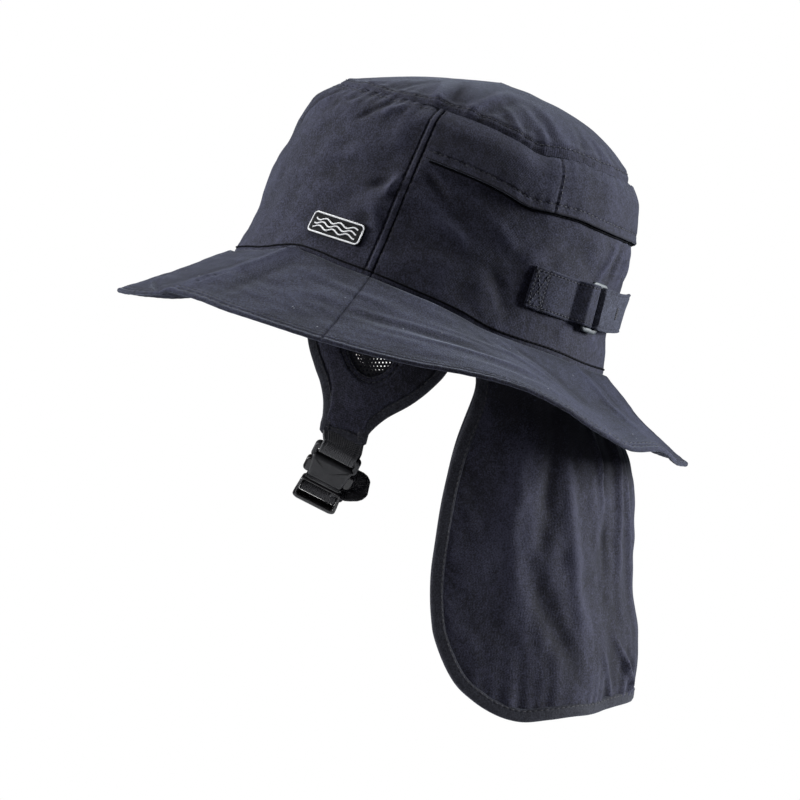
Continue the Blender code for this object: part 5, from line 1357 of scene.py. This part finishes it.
WEBBING = webbing_material("webbing_look")
lean_forward, lean_inward = np.radians(BUCKLE_LEAN_FORWARD), np.radians(BUCKLE_LEAN_INWARD)
buckle_down = np.array([-np.sin(lean_inward), -np.cos(lean_inward) * np.sin(lean_forward),
                        -np.cos(lean_inward) * np.cos(lean_forward)])
buckle_across = np.array([0, np.cos(lean_forward), -np.sin(lean_forward)])
buckle_out = np.cross(buckle_down, buckle_across)
flap_edge = ear_cloth(*ear_outline(np.array(FLAP_EDGE_PLACE)), EAR_DEPTH)
buckle_head = flap_edge + (0.0, -2.7, -5.9)


def in_buckle(points):
    """World places of points in the buckle's frame: across it, outwards from it and down it."""
    return buckle_head + np.asarray(points, float) @ np.array([buckle_across, buckle_out, buckle_down])


def inward_of(outline):
    """Unit vectors from a flat closed outline towards its inside."""
    run = np.roll(outline, -1, axis=0) - np.roll(outline, 1, axis=0)
    inward = unit(np.stack([-run[:, 1], run[:, 0]], -1))
    return inward * np.sign(np.sum(inward * (outline.mean(axis=0) - outline)))


def moulded(name, outline, half, radius, material, *nodes, hole=None, deep=0.0):
    """A moulded plate in the buckle's frame with rounded edges: solid, or a ring round a hole."""
    low, high = -half - deep, half - deep
    turn = np.linspace(0, np.pi / 2, 5)
    inset, lift = radius * (1 - np.sin(turn)), radius * (1 - np.cos(turn))
    steps = [*zip(inset, low + lift), *zip(inset[::-1], high - lift[::-1])]
    rings = [np.insert(outline + i * inward_of(outline), 1, z, axis=1) for i, z in steps]
    if hole is None:
        flat = outline + (radius + 0.5) * inward_of(outline)
        rings = [np.insert(flat, 1, low, axis=1), *rings, np.insert(flat, 1, high, axis=1)]
    else:
        rings += [np.insert(hole - i * 0.6 * inward_of(hole), 1, z, axis=1) for i, z in steps[::-1]]
    made = lofted(name, in_buckle(rings), material, hole is None, 35 if hole is None else 55)
    return dressed(made, "buckle_plastic", *nodes)


def placed(outline, down, across=0.0):
    """An outline moved to a middle down and across the buckle."""
    return outline + (across + BUCKLE_SHIFT, down)


def tapered(top_half, foot_half, top, foot, corner, belly=0.0):
    """Outline narrowing from its top to its foot, with rounded corners and slightly hollow sides."""
    outline = oblong(1.0, 1.0, corner, 12)
    share = (outline[:, 1] + 1) / 2
    half = top_half + (foot_half - top_half) * share - belly * np.sin(np.pi * share)
    return np.stack([BUCKLE_SHIFT + outline[:, 0] * half, top + (foot - top) * share], -1)


slot_end = BUCKLE_BAR + BUCKLE_SLOT
slot_half = BUCKLE_SLOT / 2
bar_middle = BUCKLE_BAR + slot_half
moulded("buckle_socket_frame", placed(oblong(BUCKLE_HALF, 4.6, 2.6, 12), 4.6), 2.4, 1.1, MATTE_PLASTIC,
        "buckle_socket", hole=placed(oblong(WEBBING_WIDTH / 2 + 0.1, slot_half, 0.9, 12), bar_middle))
moulded("buckle_socket_body", tapered(BUCKLE_HALF - 1.0, BUCKLE_HALF - 3.4, slot_end - 0.3,
                                      SOCKET_LENGTH, 0.22, 0.7), 3.9, 1.6, MATTE_PLASTIC)
moulded("buckle_socket_lip", tapered(BUCKLE_HALF - 2.6, BUCKLE_HALF - 3.0, SOCKET_LENGTH - 2.6,
                                     SOCKET_LENGTH - 0.1, 0.5), 4.1, 0.7, MATTE_PLASTIC)
for prong_name, prong_side in (("front", -1), ("rear", 1)):
    moulded(f"buckle_prong_{prong_name}", placed(oblong(2.6, 4.3, 2.3, 10), slot_end + 7.4,
                                                 prong_side * (BUCKLE_HALF - 2.0)), 2.2, 1.3, GLOSS_PLASTIC)
plug_start = SOCKET_LENGTH + 0.3
plug_low = plug_start + 2.0
slot_1, slot_2 = plug_low + slot_half, plug_low + BUCKLE_SLOT + PLUG_BAR + slot_half
plug_middle = (slot_1 + slot_2) / 2
plug_outline = tapered(BUCKLE_HALF - 1.6, BUCKLE_HALF - 0.6, plug_start, plug_start + PLUG_LENGTH, 0.32)
plug_hole = oblong(WEBBING_WIDTH / 2 + 0.1, (slot_2 - slot_1) / 2 + slot_half, 1.0, 12)
moulded("buckle_plug_frame", plug_outline, 3.1, 1.2, GLOSS_PLASTIC, "buckle_plug",
        hole=placed(plug_hole, plug_middle))
moulded("buckle_plug_bar", placed(oblong(WEBBING_WIDTH / 2 + 1.4, 0.95, 0.8, 8), plug_middle), 1.3, 0.7,
        GLOSS_PLASTIC, deep=PLUG_BAR_DEEP)


def ribbon(name, route, sides, width, steps, node, widths):
    """A woven tape along a smooth route, with its width laid along the given sides."""
    knots = lengths_of(np.array(route))
    at = np.linspace(0, knots[-1], steps)
    path = np.stack([smooth(at, knots, column) for column in np.transpose(route)], -1)
    run = unit(np.gradient(path, axis=0))
    side = sampled(at, knots, sides)
    side = unit(side - np.sum(side * run, axis=-1, keepdims=True) * run)
    normal = np.cross(run, side)[:, None]
    across = dense(-width / 2, width / 2, 1.2, (-width / 2 + 1.6, width / 2 - 1.6), 0.3, 1.2)
    edge = width / 2 - np.abs(across)
    half = WEBBING_THICKNESS / 2 * np.sqrt(np.clip(edge / 0.7, 0.02, 1)) * (1 - 0.22 * bell(edge - 1.9, 0.4))
    edge_wave = 0.12 * soft_noise(at[:, None] * 2, across[None], 7.0, 91)
    spread = np.interp(at / knots[-1], *np.transpose(widths))[:, None, None]
    middle = path[:, None] + side[:, None] * across[:, None] * spread
    faces = (raised(middle, lift, normal) for lift in (half + edge_wave, edge_wave - half))
    made = wall(name, *faces, WEBBING)
    loops = np.empty(len(made.data.loops), dtype=np.int64)
    made.data.loops.foreach_get("vertex_index", loops)
    along = np.stack(np.meshgrid(at, across, indexing="ij"), -1).reshape(-1, 2)
    layer = made.data.uv_layers.new(name="along")
    layer.data.foreach_set("uv", along[loops % len(along)].astype(np.float32).ravel())
    return dressed(made, "webbing", node)


bar_reach = BAR_HALF + WEBBING_THICKNESS / 2 + 0.4
half_loop = ((0.95, -2.8), (bar_reach, -1.0), (bar_reach + 0.2, 1.4), (bar_reach - 0.6, bar_middle - 0.5))
loop_route = (*half_loop, (0, bar_middle + 0.2), *((-out, down) for out, down in half_loop[::-1]))
flap_foot = flap_edge + (0.0, 0.6, 1.6)
loop_points = [flap_foot + (0.7, 0, 0), *(in_buckle((BUCKLE_SHIFT, out, down)) for out, down in loop_route),
               flap_foot - (0.7, 0, 0)]
ribbon("webbing_left_loop", loop_points, [buckle_across] * 11, WEBBING_WIDTH - 0.6, 90, "webbing_left",
       ((0, 1.14), (0.13, 1.05), (0.25, 1), (0.75, 1), (0.87, 1.05), (1, 1.14)))
strap_start = flap_edge * (-1, 1, 1) + (0.4, -0.9, -3.1)
plug_low_edge, plug_high_edge = plug_low + BUCKLE_SLOT, plug_low + BUCKLE_SLOT + PLUG_BAR
plug_end = in_buckle((BUCKLE_SHIFT, -3.8, slot_2 + 0.5))
strap_level = (strap_start[2] + plug_end[2]) / 2
far_side = np.array([0, np.cos(np.radians(20.0)), -np.sin(np.radians(20.0))])
strap_route = [
    flap_foot * (-1, 1, 1),
    strap_start,
    strap_start + (1.6, -0.6, -5.0),
    (strap_start[0] * 0.72, strap_start[1] - 2.0, strap_level + 3.0),
    (0.0, (strap_start[1] + plug_end[1]) / 2, strap_level - 7.0),
    (plug_end[0] * 0.7, plug_end[1] + 2.5, plug_end[2] - 0.5),
    plug_end,
]
for out, down in ((0.0, slot_2 + 0.4), (bar_reach - 0.5, plug_high_edge + 0.9),
                  (bar_reach, (plug_low_edge + plug_high_edge) / 2), (bar_reach - 0.5, plug_low_edge - 0.9),
                  (0.0, slot_1 - 0.4), (-2.6, slot_1 - 0.1)):
    strap_route.append(in_buckle((BUCKLE_SHIFT, out - PLUG_BAR_DEEP, down)))
tail_leave = np.array([BUCKLE_SHIFT + 1.0, -5.6, slot_1 - 3.0])
tail_end = np.array([23.0, -7.8, slot_1 - 8.2])
tail_across = 0.30 * buckle_across + 0.30 * buckle_down + 0.905 * buckle_out
strap_route += [in_buckle(tail_leave), in_buckle((tail_leave + tail_end) / 2), in_buckle(tail_end)]
strap_sides = [*[far_side] * 4, (far_side + buckle_across) / 2, *[buckle_across] * 9,
               (buckle_across + tail_across) / 2, tail_across]
ribbon("webbing_right_run", strap_route, strap_sides, WEBBING_WIDTH, 320, "webbing_right",
       ((0, 1), (0.955, 1), (0.975, 0.93), (0.988, 0.8), (0.996, 0.6), (1, 0.42)))
